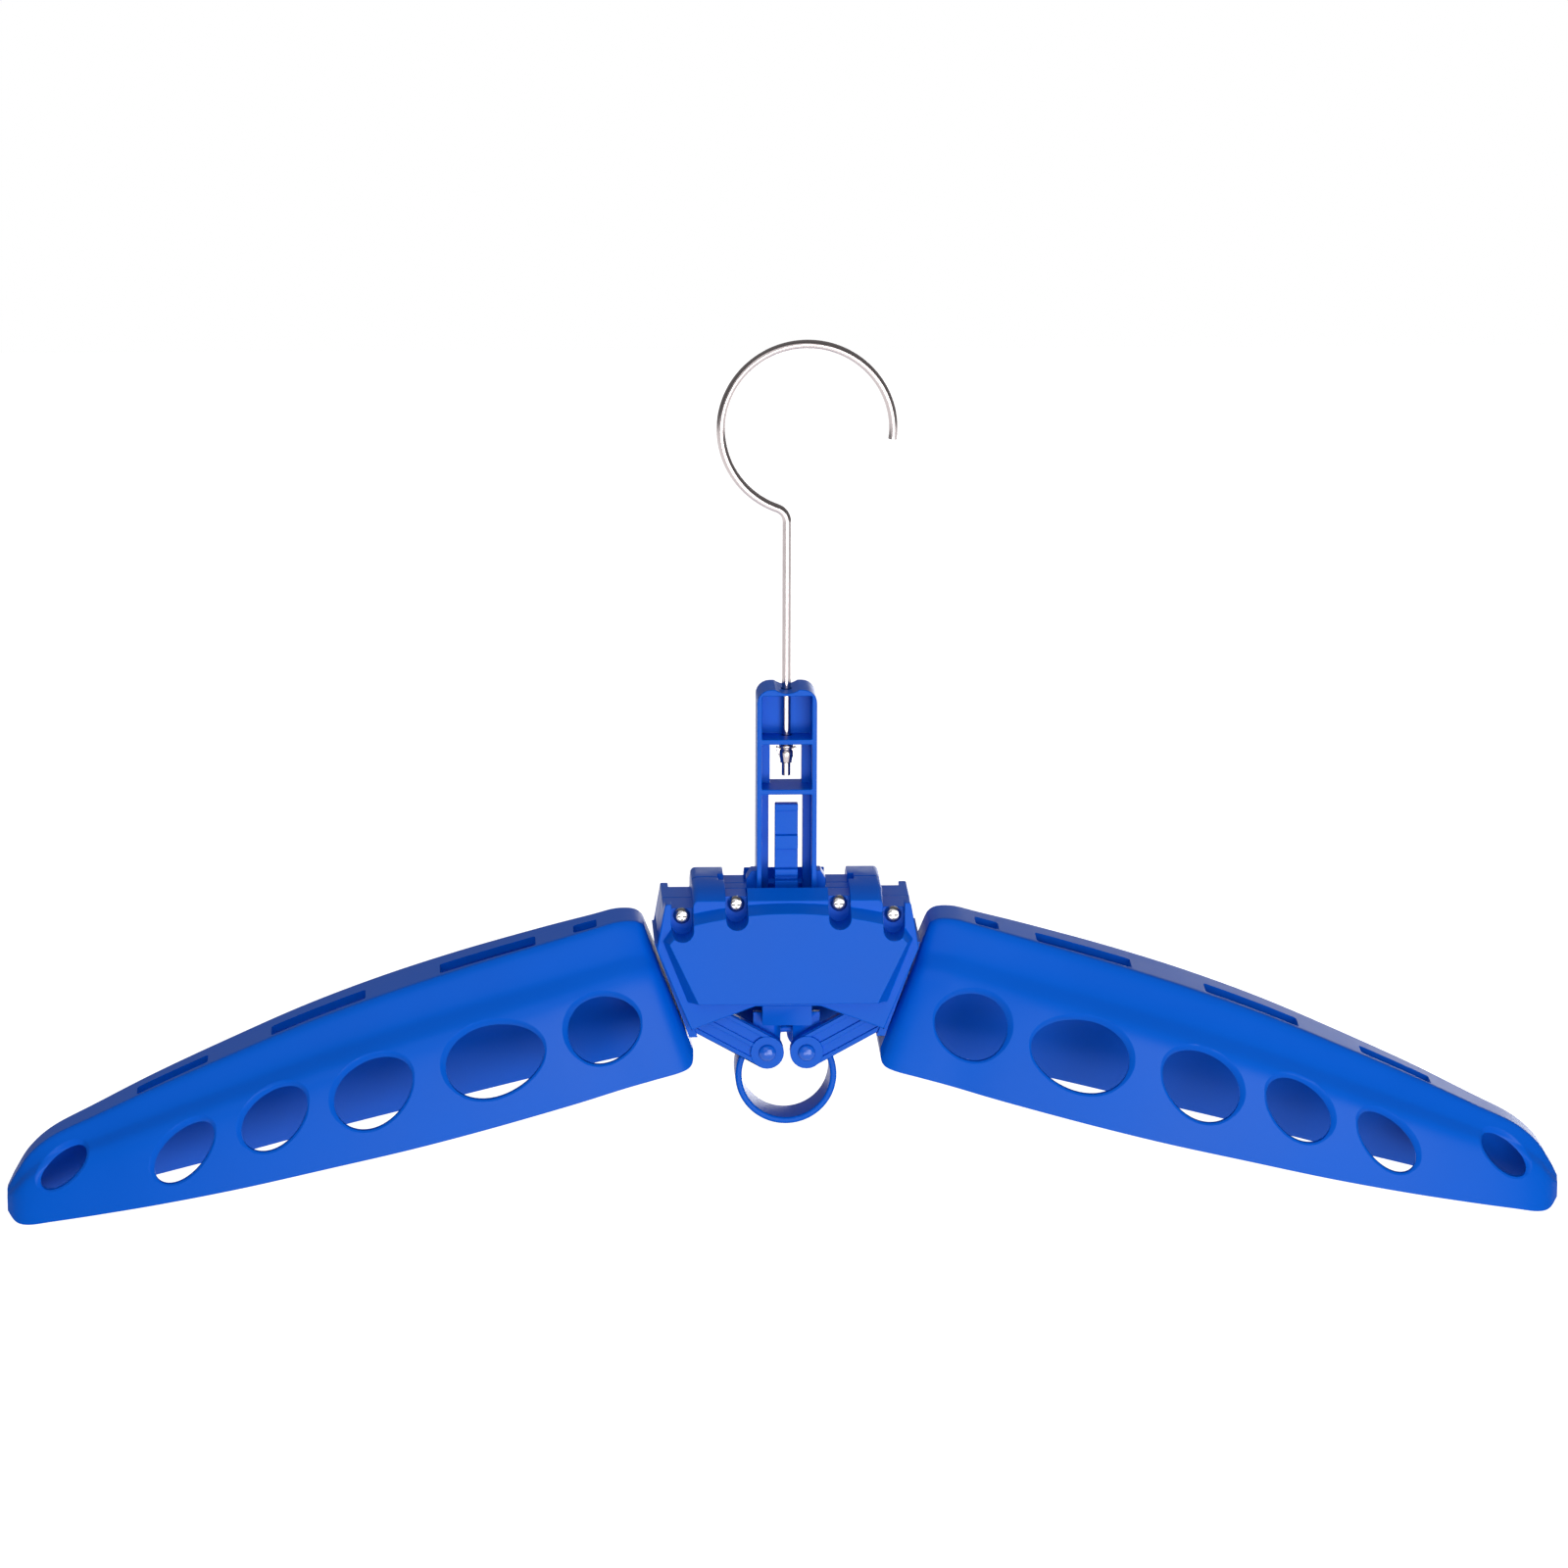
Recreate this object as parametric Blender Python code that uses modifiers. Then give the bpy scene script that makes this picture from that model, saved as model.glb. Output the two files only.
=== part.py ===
"""Folding wetsuit hanger: steel hook, stem, two-part hub, pull slide and two hollow arms.

Metres, +Z up, front towards -Y. The origin is the point inside the hook, straight above
the hub, where a rail carries the hanger. The left side is at -X.
"""
import math

import bmesh
import bpy
from mathutils import Matrix, Vector

# Clearances and general sizes
GAP = 0.0003
RUNNING_GAP = 0.0005
OVERRUN = 0.002
WELD = 0.0000002

# Hook
HOOK_RADIUS = 0.026
HOOK_OFFSET = 0.006
HOOK_END_DEG = -7.0
HOOK_LEAVE_DEG = 250.0
WIRE_RADIUS = 0.00135
SHANK_FREE = 0.0506
WASHER_RADIUS = 0.0027
WASHER_HEIGHT = 0.0008
FERRULE_RADIUS = 0.0022
FERRULE_HEIGHT = 0.0056
FERRULE_EAR_REACH = 0.0031
FERRULE_EAR_THICKNESS = 0.0014
WIRE_TAIL = 0.0040

# Stem
STEM_WIDTH = 0.0182
STEM_DEPTH = 0.0140
STEM_CORNER = 0.0042
STEM_EXPOSED = 0.0600
STEM_BURIED = 0.0230
STEM_TOP_WALL = 0.0020
STEM_SIDE_WALL = 0.0015
STEM_BACK_WALL = 0.0052
POCKET_HEIGHT = 0.0135
WINDOW_HEIGHT = 0.0140
WINDOW_WIDTH = 0.0097
SLOT_WIDTH = 0.0104
RIB = 0.0016
SADDLE_RADIUS = 0.0060
SADDLE_DEPTH = 0.0012
EAR_REACH = 0.0204
EAR_DEPTH = 0.0062
EAR_DROP = 0.0115
STEM_LUG_REACH = 0.0030
STEM_LUG_RISE = 0.0025

# Hub housing
HUB_HALF_DEPTH = 0.0180
HUB_WALL = 0.0030
HUB_RIM = 0.0011
HUB_TOP_FLAT_HALF = 0.0300
HUB_SHOULDER_HALF = 0.0376
HUB_SHOULDER_DROP = 0.0060
HUB_WAIST_HALF = 0.0398
HUB_WAIST_DROP = 0.0182
HUB_FOOT_HALF = 0.0293
HUB_FOOT_DROP = 0.0436
HUB_THROAT_HALF = 0.0099
HUB_THROAT_DROP = 0.0362
HUB_BLOCK_DROP = 0.0157
HUB_CHAMFER_DEPTH = 0.0110
HUB_CHAMFER_DROP = 0.0056
PLATE_RISE = 0.0050
PLATE_TOP_DROP = 0.0058
PLATE_TOP_SAG = 0.0041
PLATE_TOP_HALF = 0.0310
PLATE_SIDE_HALF = 0.0361
PLATE_SIDE_DROP = 0.0153
PLATE_FOOT_HALF = 0.0272
PLATE_FOOT_DROP = 0.0342
PLATE_WALL = 0.0025
PLATE_SPREAD_TOP = 0.0022
PLATE_SPREAD_SIDE = 0.0020
PLATE_SPREAD_FOOT = 0.0034
PLATE_SPREAD_DOWN = 0.0006
SHOULDER_RISE = 0.0046
STEM_NOTCH_DROP = 0.0040
STEM_NOTCH_DEPTH = 0.0055
COLUMN_HALF = 0.0075
COLUMN_DEPTH = 0.0140
COLUMN_DROP = 0.0433

# Housing screws
SCREW_INNER_X = 0.0156
SCREW_INNER_DROP = 0.0050
SCREW_OUTER_X = 0.0321
SCREW_OUTER_DROP = 0.0086
SCREW_SEAT = 0.0130
SCREW_HEAD_RADIUS = 0.0025
SCREW_HEAD_HEIGHT = 0.0016
SCREW_RECESS_RADIUS = 0.0011
SCREW_RECESS_DEPTH = 0.0009
SCREW_SHANK_RADIUS = 0.0013
SCREW_LENGTH = 0.0230
CHANNEL_WIDTH = 0.0066
CHANNEL_SAG = 0.0060
GROOVE_COVER = 0.0022

# Pivots, levers and yokes
PIVOT_X = 0.0060
PIVOT_DROP = 0.0520
PIVOT_RADIUS = 0.0018
PIVOT_HEAD_RADIUS = 0.0026
PIVOT_HEAD_HEIGHT = 0.0011
CHEEK_NEAR = 0.0075
CHEEK_THICKNESS = 0.0018
CHEEK_RADIUS = 0.0042
KNUCKLE_RADIUS = 0.0051
LEVER_NEAR = 0.0096
LEVER_THICKNESS = 0.0032
LEVER_WIDTH = 0.0104
LEVER_RISE_DEG = 29.0
LEVER_RIB_HEIGHT = 0.0010
LEVER_RIB_WIDTH = 0.0013
YOKE_PLATE = 0.0024
YOKE_HALF_DEPTH = 0.0143
YOKE_TOP_DROP = 0.0172
YOKE_FOOT_DROP = 0.0468
TENON_REACH = 0.0075
TENON_HEIGHT = 0.0070
TENON_HALF_DEPTH = 0.0080

# Slide, latch tongue and finger ring
TONGUE_WIDTH = 0.0070
TONGUE_THICKNESS = 0.0026
TONGUE_FRONT = 0.0036
TONGUE_TOP_CLEAR = 0.0040
TONGUE_HINGE_DROP = 0.0110
TONGUE_ROOT_RADIUS = 0.0018
LIP_HEIGHT = 0.0016
LIP_REACH = 0.0012
STEP_DROP = 0.0093
STEP_HEIGHT = 0.0043
STEP_REACH = 0.0012
BAR_DROP = 0.0198
BAR_HEIGHT = 0.0020
BAR_REACH = 0.0014
BUTTON_DROP = 0.0232
BUTTON_HEIGHT = 0.0046
BUTTON_REACH = 0.0024
STRAP_WIDTH = 0.0092
STRAP_THICKNESS = 0.0044
FOOT_SIZE = 0.0100
FOOT_HEIGHT = 0.0020
RING_RADIUS = 0.0155
RING_THICKNESS = 0.0020
RING_WIDTH = 0.0140
RING_DROP = 0.0610

# Arms
ARM_ROOT_GAP = 0.0027
ARM_REACH = 0.1957
ARM_DROP = 0.0948
ARM_TOP_DROP = 0.0112
ARM_HALF_DEPTH = 0.0241
ARM_WALL = 0.0022
ARM_STATIONS = 31
SLOT_LENGTHS = (0.0074, 0.0305, 0.0310, 0.0240)
SLOT_NEAR = 0.0015
SLOT_FAR = 0.0095
HOLE_SIDES = 28

# Derived places, from the hook down
HOOK_CENTRE_Z = -math.sqrt((HOOK_RADIUS - WIRE_RADIUS) ** 2 - HOOK_OFFSET ** 2)
LEAVE = math.radians(HOOK_LEAVE_DEG)
BEND_RADIUS = -(HOOK_OFFSET + HOOK_RADIUS * math.cos(LEAVE)) / (1 + math.cos(LEAVE))
SHANK_TOP_Z = HOOK_CENTRE_Z + (HOOK_RADIUS + BEND_RADIUS) * math.sin(LEAVE)
STEM_TOP_Z = SHANK_TOP_Z - SHANK_FREE
POCKET_TOP_Z = STEM_TOP_Z - STEM_TOP_WALL
WINDOW_TOP_Z = POCKET_TOP_Z - POCKET_HEIGHT - RIB
SLOT_TOP_Z = WINDOW_TOP_Z - WINDOW_HEIGHT - RIB
HUB_TOP_Z = STEM_TOP_Z - STEM_EXPOSED
STEM_FOOT_Z = HUB_TOP_Z - STEM_BURIED
PIVOT_Z = HUB_TOP_Z - PIVOT_DROP
RING_Z = HUB_TOP_Z - RING_DROP
TONGUE_TOP_Z = SLOT_TOP_Z - TONGUE_TOP_CLEAR
TONGUE_HINGE_Z = HUB_TOP_Z - TONGUE_HINGE_DROP
HUB_FACE = HUB_HALF_DEPTH + PLATE_RISE
STEM_HALF = STEM_WIDTH / 2
STEM_NEAR = STEM_DEPTH / 2
LEVER_FAR = LEVER_NEAR + LEVER_THICKNESS
KNUCKLE_FAR = LEVER_FAR + LEVER_RIB_HEIGHT
ARM_ROOT_X = -(HUB_WAIST_HALF + ARM_ROOT_GAP)

BLUE = (0.0, 0.118, 0.69)
STEEL = (0.72, 0.70, 0.69)

# Stations of an arm: how far along and down its top edge and its bottom edge are, as
# shares of the arm's reach and drop, and its half depth as a share of the greatest
ARM_STATION_SHARES = (
    (0.000, 0.013, -0.072, 0.426, 0.50),
    (0.004, 0.003, -0.069, 0.464, 0.62),
    (0.018, -0.001, -0.053, 0.484, 0.70),
    (0.049, 0.009, -0.008, 0.507, 0.76),
    (0.085, 0.028, 0.039, 0.533, 0.80),
    (0.168, 0.076, 0.120, 0.578, 0.90),
    (0.290, 0.151, 0.248, 0.649, 0.98),
    (0.414, 0.235, 0.370, 0.714, 1.00),
    (0.534, 0.329, 0.498, 0.778, 0.96),
    (0.657, 0.440, 0.631, 0.847, 0.87),
    (0.769, 0.546, 0.754, 0.905, 0.76),
    (0.861, 0.641, 0.856, 0.950, 0.62),
    (0.927, 0.711, 0.927, 0.981, 0.50),
    (0.964, 0.775, 0.966, 0.998, 0.41),
    (0.986, 0.844, 0.986, 0.995, 0.31),
    (1.000, 0.899, 0.999, 0.966, 0.18),
)

# Where the hollow starts and ends, as shares of a station and of all stations
ARM_END_WALL_SHARE = 1.7
ARM_TIP_SHARE = 0.09

# Half section of an arm from the bottom edge over the top: share of the half depth,
# share of the height
ARM_SECTION_SHARES = (
    (1.00, 0.00),
    (0.98, 0.36),
    (0.95, 0.58),
    (0.89, 0.68),
    (0.73, 0.76),
    (0.66, 0.83),
    (0.61, 0.93),
    (0.55, 0.98),
    (0.45, 1.00),
    (0.00, 1.00),
)

# Holes in an arm's front wall: place along the reach, place down the drop, half length and
# half width as shares of the half depth, and the tilt of the long axis in degrees
ARM_HOLE_SHARES = (
    (0.067, 0.337, 0.465, 0.423, 20.0),
    (0.237, 0.427, 0.639, 0.452, 18.0),
    (0.425, 0.529, 0.556, 0.394, 40.0),
    (0.579, 0.616, 0.506, 0.311, 45.5),
    (0.720, 0.735, 0.498, 0.249, 48.0),
    (0.909, 0.805, 0.378, 0.158, 43.0),
)

# Middle of each top slot along the arm's reach
ARM_SLOT_SHARES = (0.096, 0.248, 0.512, 0.740)

# Outlines of small turned or pressed pieces: share of the radius or reach, share of the height
EAR_SHARES = ((0.7, 0.08), (1.0, 0.20), (0.9, 0.45), (0.5, 0.85))
SCREW_HEAD_SHARES = ((0.62, 1.0), (0.86, 0.84), (1.0, 0.42))
PIN_DOME_SHARES = ((0.0, 1.0), (0.5, 0.85), (0.87, 0.5), (1.0, 0.0))


def new_collection(name):
    """A collection linked to the scene."""
    made = bpy.data.collections.new(name)
    bpy.context.scene.collection.children.link(made)
    return made


def new_material(name, colour, roughness, metallic):
    """A Principled material of one colour."""
    made = bpy.data.materials.new(name)
    made.use_nodes = True
    shader = made.node_tree.nodes["Principled BSDF"]
    shader.inputs["Base Color"].default_value = (*colour, 1.0)
    shader.inputs["Roughness"].default_value = roughness
    shader.inputs["Metallic"].default_value = metallic
    made.diffuse_color = (*colour, 1.0)
    return made


def clear_scene():
    """Remove what the scene holds."""
    for item in list(bpy.data.objects):
        bpy.data.objects.remove(item)


def new_object(name, mesh):
    """An object of this mesh among the parts."""
    made = bpy.data.objects.new(name, mesh)
    PARTS.objects.link(made)
    return made


def from_bmesh(name, shape):
    """An object made from a bmesh, with its faces pointing out."""
    bmesh.ops.recalc_face_normals(shape, faces=shape.faces)
    mesh = bpy.data.meshes.new(name)
    shape.to_mesh(mesh)
    shape.free()
    return new_object(name, mesh)


def bake(item):
    """Turn an object with modifiers, or a curve object, into a plain welded mesh object."""
    bpy.context.view_layer.update()
    graph = bpy.context.evaluated_depsgraph_get()
    mesh = bpy.data.meshes.new_from_object(item.evaluated_get(graph))
    mesh.transform(item.matrix_world)
    name = item.name
    bpy.data.objects.remove(item)
    shape = bmesh.new()
    shape.from_mesh(mesh)
    bmesh.ops.remove_doubles(shape, verts=shape.verts, dist=WELD)
    shape.to_mesh(mesh)
    shape.free()
    made = new_object(name, mesh)
    made.name = name
    return made


def combine(target, tools, operation):
    """Cut, join or intersect mesh objects into one plain mesh object."""
    group = bpy.data.collections.new("tools")
    for tool in tools:
        group.objects.link(tool)
    step = target.modifiers.new(operation.title(), "BOOLEAN")
    step.operation = operation
    step.solver = "EXACT"
    step.operand_type = "COLLECTION"
    step.collection = group
    made = bake(target)
    for tool in tools:
        bpy.data.objects.remove(tool)
    bpy.data.collections.remove(group)
    return made


def cut(target, *tools):
    """Cut the tools from the target."""
    return combine(target, tools, "DIFFERENCE")


def join(target, *tools):
    """Fuse the tools with the target."""
    return combine(target, tools, "UNION")


def box(name, x_range, y_range, z_range):
    """A block between two values on each axis."""
    shape = bmesh.new()
    bmesh.ops.create_cube(shape, size=1.0)
    low = Vector((x_range[0], y_range[0], z_range[0]))
    high = Vector((x_range[1], y_range[1], z_range[1]))
    bmesh.ops.scale(shape, vec=high - low, verts=shape.verts)
    bmesh.ops.translate(shape, vec=(low + high) / 2, verts=shape.verts)
    return from_bmesh(name, shape)


def rod(name, start, end, radius, sides=24):
    """A solid cylinder between two points."""
    start = Vector(start)
    run = Vector(end) - start
    shape = bmesh.new()
    bmesh.ops.create_cone(
        shape, cap_ends=True, segments=sides, radius1=radius, radius2=radius, depth=run.length)
    turn = Vector((0, 0, 1)).rotation_difference(run)
    place = Matrix.Translation(start + run / 2) @ turn.to_matrix().to_4x4()
    bmesh.ops.transform(shape, matrix=place, verts=shape.verts)
    return from_bmesh(name, shape)


def slab(name, outline, near, far):
    """A flat outline in X and Z, filled and as thick as from near to far along Y."""
    curve = bpy.data.curves.new(name, "CURVE")
    curve.dimensions = "2D"
    curve.fill_mode = "BOTH"
    curve.extrude = abs(far - near) / 2
    line = curve.splines.new("POLY")
    line.points.add(len(outline) - 1)
    for point, (x, z) in zip(line.points, outline):
        point.co = (x, z, 0, 1)
    line.use_cyclic_u = True
    item = bpy.data.objects.new(name, curve)
    PARTS.objects.link(item)
    item.rotation_euler = (math.radians(90), 0, 0)
    item.location = (0, (near + far) / 2, 0)
    made = bake(item)
    shape = bmesh.new()
    shape.from_mesh(made.data)
    bmesh.ops.recalc_face_normals(shape, faces=shape.faces)
    shape.to_mesh(made.data)
    shape.free()
    return made


def tapered(name, near_outline, far_outline, near, far):
    """A solid between an outline in X and Z at near and one of as many points at far."""
    shape = bmesh.new()
    low = [shape.verts.new((x, near, z)) for x, z in near_outline]
    high = [shape.verts.new((x, far, z)) for x, z in far_outline]
    shape.faces.new(low)
    shape.faces.new(list(reversed(high)))
    for i in range(len(low)):
        j = (i + 1) % len(low)
        shape.faces.new((low[i], low[j], high[j], high[i]))
    return from_bmesh(name, shape)


def turned(name, profile, start, direction, sides=24):
    """A profile of (radius, height) turned about a line from start along direction."""
    mesh = bpy.data.meshes.new(name)
    points = [(radius, 0, height) for radius, height in profile]
    edges = [(i, i + 1) for i in range(len(points) - 1)]
    if profile[0][0] > 0:
        edges.append((len(points) - 1, 0))
    mesh.from_pydata(points, edges, [])
    item = new_object(name, mesh)
    screw = item.modifiers.new("Turn", "SCREW")
    screw.axis = "Z"
    screw.angle = math.tau
    screw.steps = sides
    screw.render_steps = sides
    screw.use_merge_vertices = True
    screw.merge_threshold = WELD
    item = bake(item)
    turn = Vector((0, 0, 1)).rotation_difference(Vector(direction))
    item.data.transform(Matrix.Translation(Vector(start)) @ turn.to_matrix().to_4x4())
    shape = bmesh.new()
    shape.from_mesh(item.data)
    bmesh.ops.recalc_face_normals(shape, faces=shape.faces)
    shape.to_mesh(item.data)
    shape.free()
    return item


def soften(item, width, segments=2, angle_deg=40):
    """Round an object's sharp edges."""
    step = item.modifiers.new("Soften", "BEVEL")
    step.width = width
    step.segments = segments
    step.limit_method = "ANGLE"
    step.angle_limit = math.radians(angle_deg)
    return bake(item)


def arc(centre, radius, start_deg, end_deg, steps):
    """Points along an arc in X and Z."""
    points = []
    for i in range(steps + 1):
        angle = math.radians(start_deg + (end_deg - start_deg) * i / steps)
        points.append((centre[0] + radius * math.cos(angle), centre[1] + radius * math.sin(angle)))
    return points


def both_sides(half):
    """A closed outline from its right half, listed from the top middle to the bottom middle."""
    left = [(-x, z) for x, z in reversed(half) if x > 0]
    return list(half) + left


def front_or_back(side, near, far):
    """A Y range on the front (side -1) or on the back (side 1)."""
    return sorted((side * near, side * far))


def reflect(item, axis):
    """Reflect an object's mesh across the middle plane."""
    item.data.transform(Matrix.Scale(-1, 4, Vector([letter == axis for letter in "XYZ"])))
    item.data.flip_normals()
    return item


def opposite(item, name):
    """A reflected copy of a left object, for the right side."""
    return reflect(new_object(name, item.data.copy()), "X")


def finish(item, name, colour, parent):
    """Name an object, give it its material and hang it on its parent empty."""
    item.name = name
    item.data.name = name
    is_steel = colour == STEEL
    item.data.materials.clear()
    item.data.materials.append(
        new_material(name, colour, 0.25 if is_steel else 0.42, 1.0 if is_steel else 0.0))
    item.data.shade_smooth()
    item.data.set_sharp_from_angle(angle=math.radians(35))
    if parent:
        item.data.transform(Matrix.Translation(-parent.location))
        item.parent = parent
    return item


def axis_empty(name, place):
    """An empty on a joint's axis."""
    made = bpy.data.objects.new(name, None)
    made.location = place
    PARTS.objects.link(made)
    return made


def make_hook():
    """The bent steel wire, its washer and the crimped ferrule under the stem's rib."""
    washer_top = WINDOW_TOP_Z - GAP
    ferrule_top = washer_top - WASHER_HEIGHT - GAP
    wire_end = ferrule_top - FERRULE_HEIGHT - WIRE_TAIL
    centre = (HOOK_OFFSET, HOOK_CENTRE_Z)
    route = arc(centre, HOOK_RADIUS, HOOK_END_DEG, HOOK_LEAVE_DEG, 40)
    bend_centre = (-BEND_RADIUS, SHANK_TOP_Z)
    route += arc(bend_centre, BEND_RADIUS, HOOK_LEAVE_DEG - 180, 0, 6)[1:]
    route.append((0, wire_end))
    curve = bpy.data.curves.new("wire", "CURVE")
    curve.dimensions = "3D"
    curve.bevel_depth = WIRE_RADIUS
    curve.bevel_resolution = 2
    curve.use_fill_caps = True
    line = curve.splines.new("POLY")
    line.points.add(len(route) - 1)
    for point, (x, z) in zip(line.points, route):
        point.co = (x, 0, z, 1)
    item = bpy.data.objects.new("wire", curve)
    PARTS.objects.link(item)
    finish(bake(item), "hook_wire", STEEL, None)

    bore = WIRE_RADIUS + GAP
    ring = [(bore, washer_top), (WASHER_RADIUS, washer_top),
            (WASHER_RADIUS, washer_top - WASHER_HEIGHT), (bore, washer_top - WASHER_HEIGHT)]
    finish(turned("washer", ring, (0, 0, 0), (0, 0, 1)), "hook_washer", STEEL, None)

    barrel = rod("barrel", (0, 0, ferrule_top), (0, 0, ferrule_top - FERRULE_HEIGHT), FERRULE_RADIUS)
    ear_outline = both_sides([(FERRULE_EAR_REACH * reach, ferrule_top - FERRULE_HEIGHT * down)
                              for reach, down in EAR_SHARES])
    half = FERRULE_EAR_THICKNESS / 2
    barrel = join(barrel, slab("ears", ear_outline, -half, half))
    below = ferrule_top - FERRULE_HEIGHT - OVERRUN
    barrel = cut(barrel, rod("bore", (0, 0, ferrule_top + OVERRUN), (0, 0, below), bore))
    finish(barrel, "hook_ferrule", STEEL, None)


def make_stem():
    """The stem: rounded top, two pockets, a window, a long slot and two screw ears."""
    corner = STEM_HALF - STEM_CORNER
    top = [(0, STEM_TOP_Z)] + arc((corner, STEM_TOP_Z - STEM_CORNER), STEM_CORNER, 90, 0, 6)
    stem = slab("stem", both_sides(top + [(STEM_HALF, STEM_FOOT_Z)]), -STEM_NEAR, STEM_NEAR)

    ear_top = HUB_TOP_Z - SCREW_INNER_DROP + GROOVE_COVER
    lug_outer = STEM_HALF + STEM_LUG_REACH
    lug_top = HUB_TOP_Z + STEM_LUG_RISE
    ear_half = [(0, lug_top), (STEM_HALF + STEM_LUG_REACH / 2, lug_top), (lug_outer, HUB_TOP_Z),
                (lug_outer, ear_top), (EAR_REACH, ear_top), (EAR_REACH, HUB_TOP_Z - EAR_DROP)]
    stem = join(stem, slab("ears", both_sides(ear_half), -EAR_DEPTH / 2, EAR_DEPTH / 2))

    inside = STEM_HALF - STEM_SIDE_WALL
    floor = STEM_NEAR - STEM_BACK_WALL
    front = -STEM_NEAR - OVERRUN
    pocket_foot = POCKET_TOP_Z - POCKET_HEIGHT
    window_foot = WINDOW_TOP_Z - WINDOW_HEIGHT
    below = STEM_FOOT_Z - OVERRUN
    back = STEM_NEAR + OVERRUN
    cutters = [
        box("pocket", (-inside, inside), (front, floor), (pocket_foot, POCKET_TOP_Z)),
        box("window_pocket", (-inside, inside), (front, floor), (window_foot, WINDOW_TOP_Z)),
        box("window", (-WINDOW_WIDTH / 2, WINDOW_WIDTH / 2), (front, back), (window_foot, WINDOW_TOP_Z)),
        box("slot_pocket", (-inside, inside), (front, floor), (below, SLOT_TOP_Z)),
        box("slot", (-SLOT_WIDTH / 2, SLOT_WIDTH / 2), (front, back), (below, SLOT_TOP_Z)),
    ]
    saddle_z = STEM_TOP_Z + SADDLE_RADIUS - SADDLE_DEPTH
    cutters += [
        rod("saddle", (0, front, saddle_z), (0, back, saddle_z), SADDLE_RADIUS),
        rod("neck", (0, 0, STEM_TOP_Z + OVERRUN), (0, 0, WINDOW_TOP_Z - RIB / 2), WIRE_RADIUS + GAP),
    ]
    hole_z = HUB_TOP_Z - SCREW_INNER_DROP
    for x in (-SCREW_INNER_X, SCREW_INNER_X):
        cutters.append(rod("screw_hole", (x, front, hole_z), (x, back, hole_z), SCREW_SHANK_RADIUS + GAP))
    finish(cut(stem, *cutters), "stem", BLUE, FRAME_AXIS)


def hub_outline():
    """The housing's outline: domed top corners, slanted sides and a notched bottom."""
    spread = (HUB_SHOULDER_HALF - HUB_TOP_FLAT_HALF) / HUB_SHOULDER_DROP
    top = [(HUB_TOP_FLAT_HALF + x * spread, z)
           for x, z in arc((0, HUB_TOP_Z - HUB_SHOULDER_DROP), HUB_SHOULDER_DROP, 90, 12, 5)]
    return both_sides([(0, HUB_TOP_Z)] + top + [
        (HUB_WAIST_HALF, HUB_TOP_Z - HUB_WAIST_DROP),
        (HUB_FOOT_HALF, HUB_TOP_Z - HUB_FOOT_DROP),
        (HUB_THROAT_HALF, HUB_TOP_Z - HUB_THROAT_DROP)])


def plate_outline(top_out, side_out, foot_out, foot_down):
    """The raised plate's outline, with an arched top, drawn out by these lengths."""
    top = []
    steps = 8
    for i in range(steps + 1):
        share = i / steps
        x = share * (PLATE_TOP_HALF + side_out)
        top.append((x, HUB_TOP_Z - PLATE_TOP_DROP + top_out - PLATE_TOP_SAG * share * share))
    return both_sides(top + [
        (PLATE_SIDE_HALF + side_out, HUB_TOP_Z - PLATE_SIDE_DROP),
        (PLATE_FOOT_HALF + foot_out, HUB_TOP_Z - PLATE_FOOT_DROP - foot_down)])


def screw_places():
    """X and Z of the four housing screws, from left to right."""
    inner = HUB_TOP_Z - SCREW_INNER_DROP
    outer = HUB_TOP_Z - SCREW_OUTER_DROP
    return ((-SCREW_OUTER_X, outer), (-SCREW_INNER_X, inner),
            (SCREW_INNER_X, inner), (SCREW_OUTER_X, outer))


def channel(name, place, y_range):
    """A screw's channel: round at the bottom and open at the top."""
    x, z = place
    half = CHANNEL_WIDTH / 2
    bottom = z - CHANNEL_SAG + half
    outline = [(x - half, bottom)] + arc((x, bottom), half, 180, 360, 8)[1:]
    outline += [(x + half, HUB_TOP_Z + OVERRUN), (x - half, HUB_TOP_Z + OVERRUN)]
    return slab(name, outline, *y_range)


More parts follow.
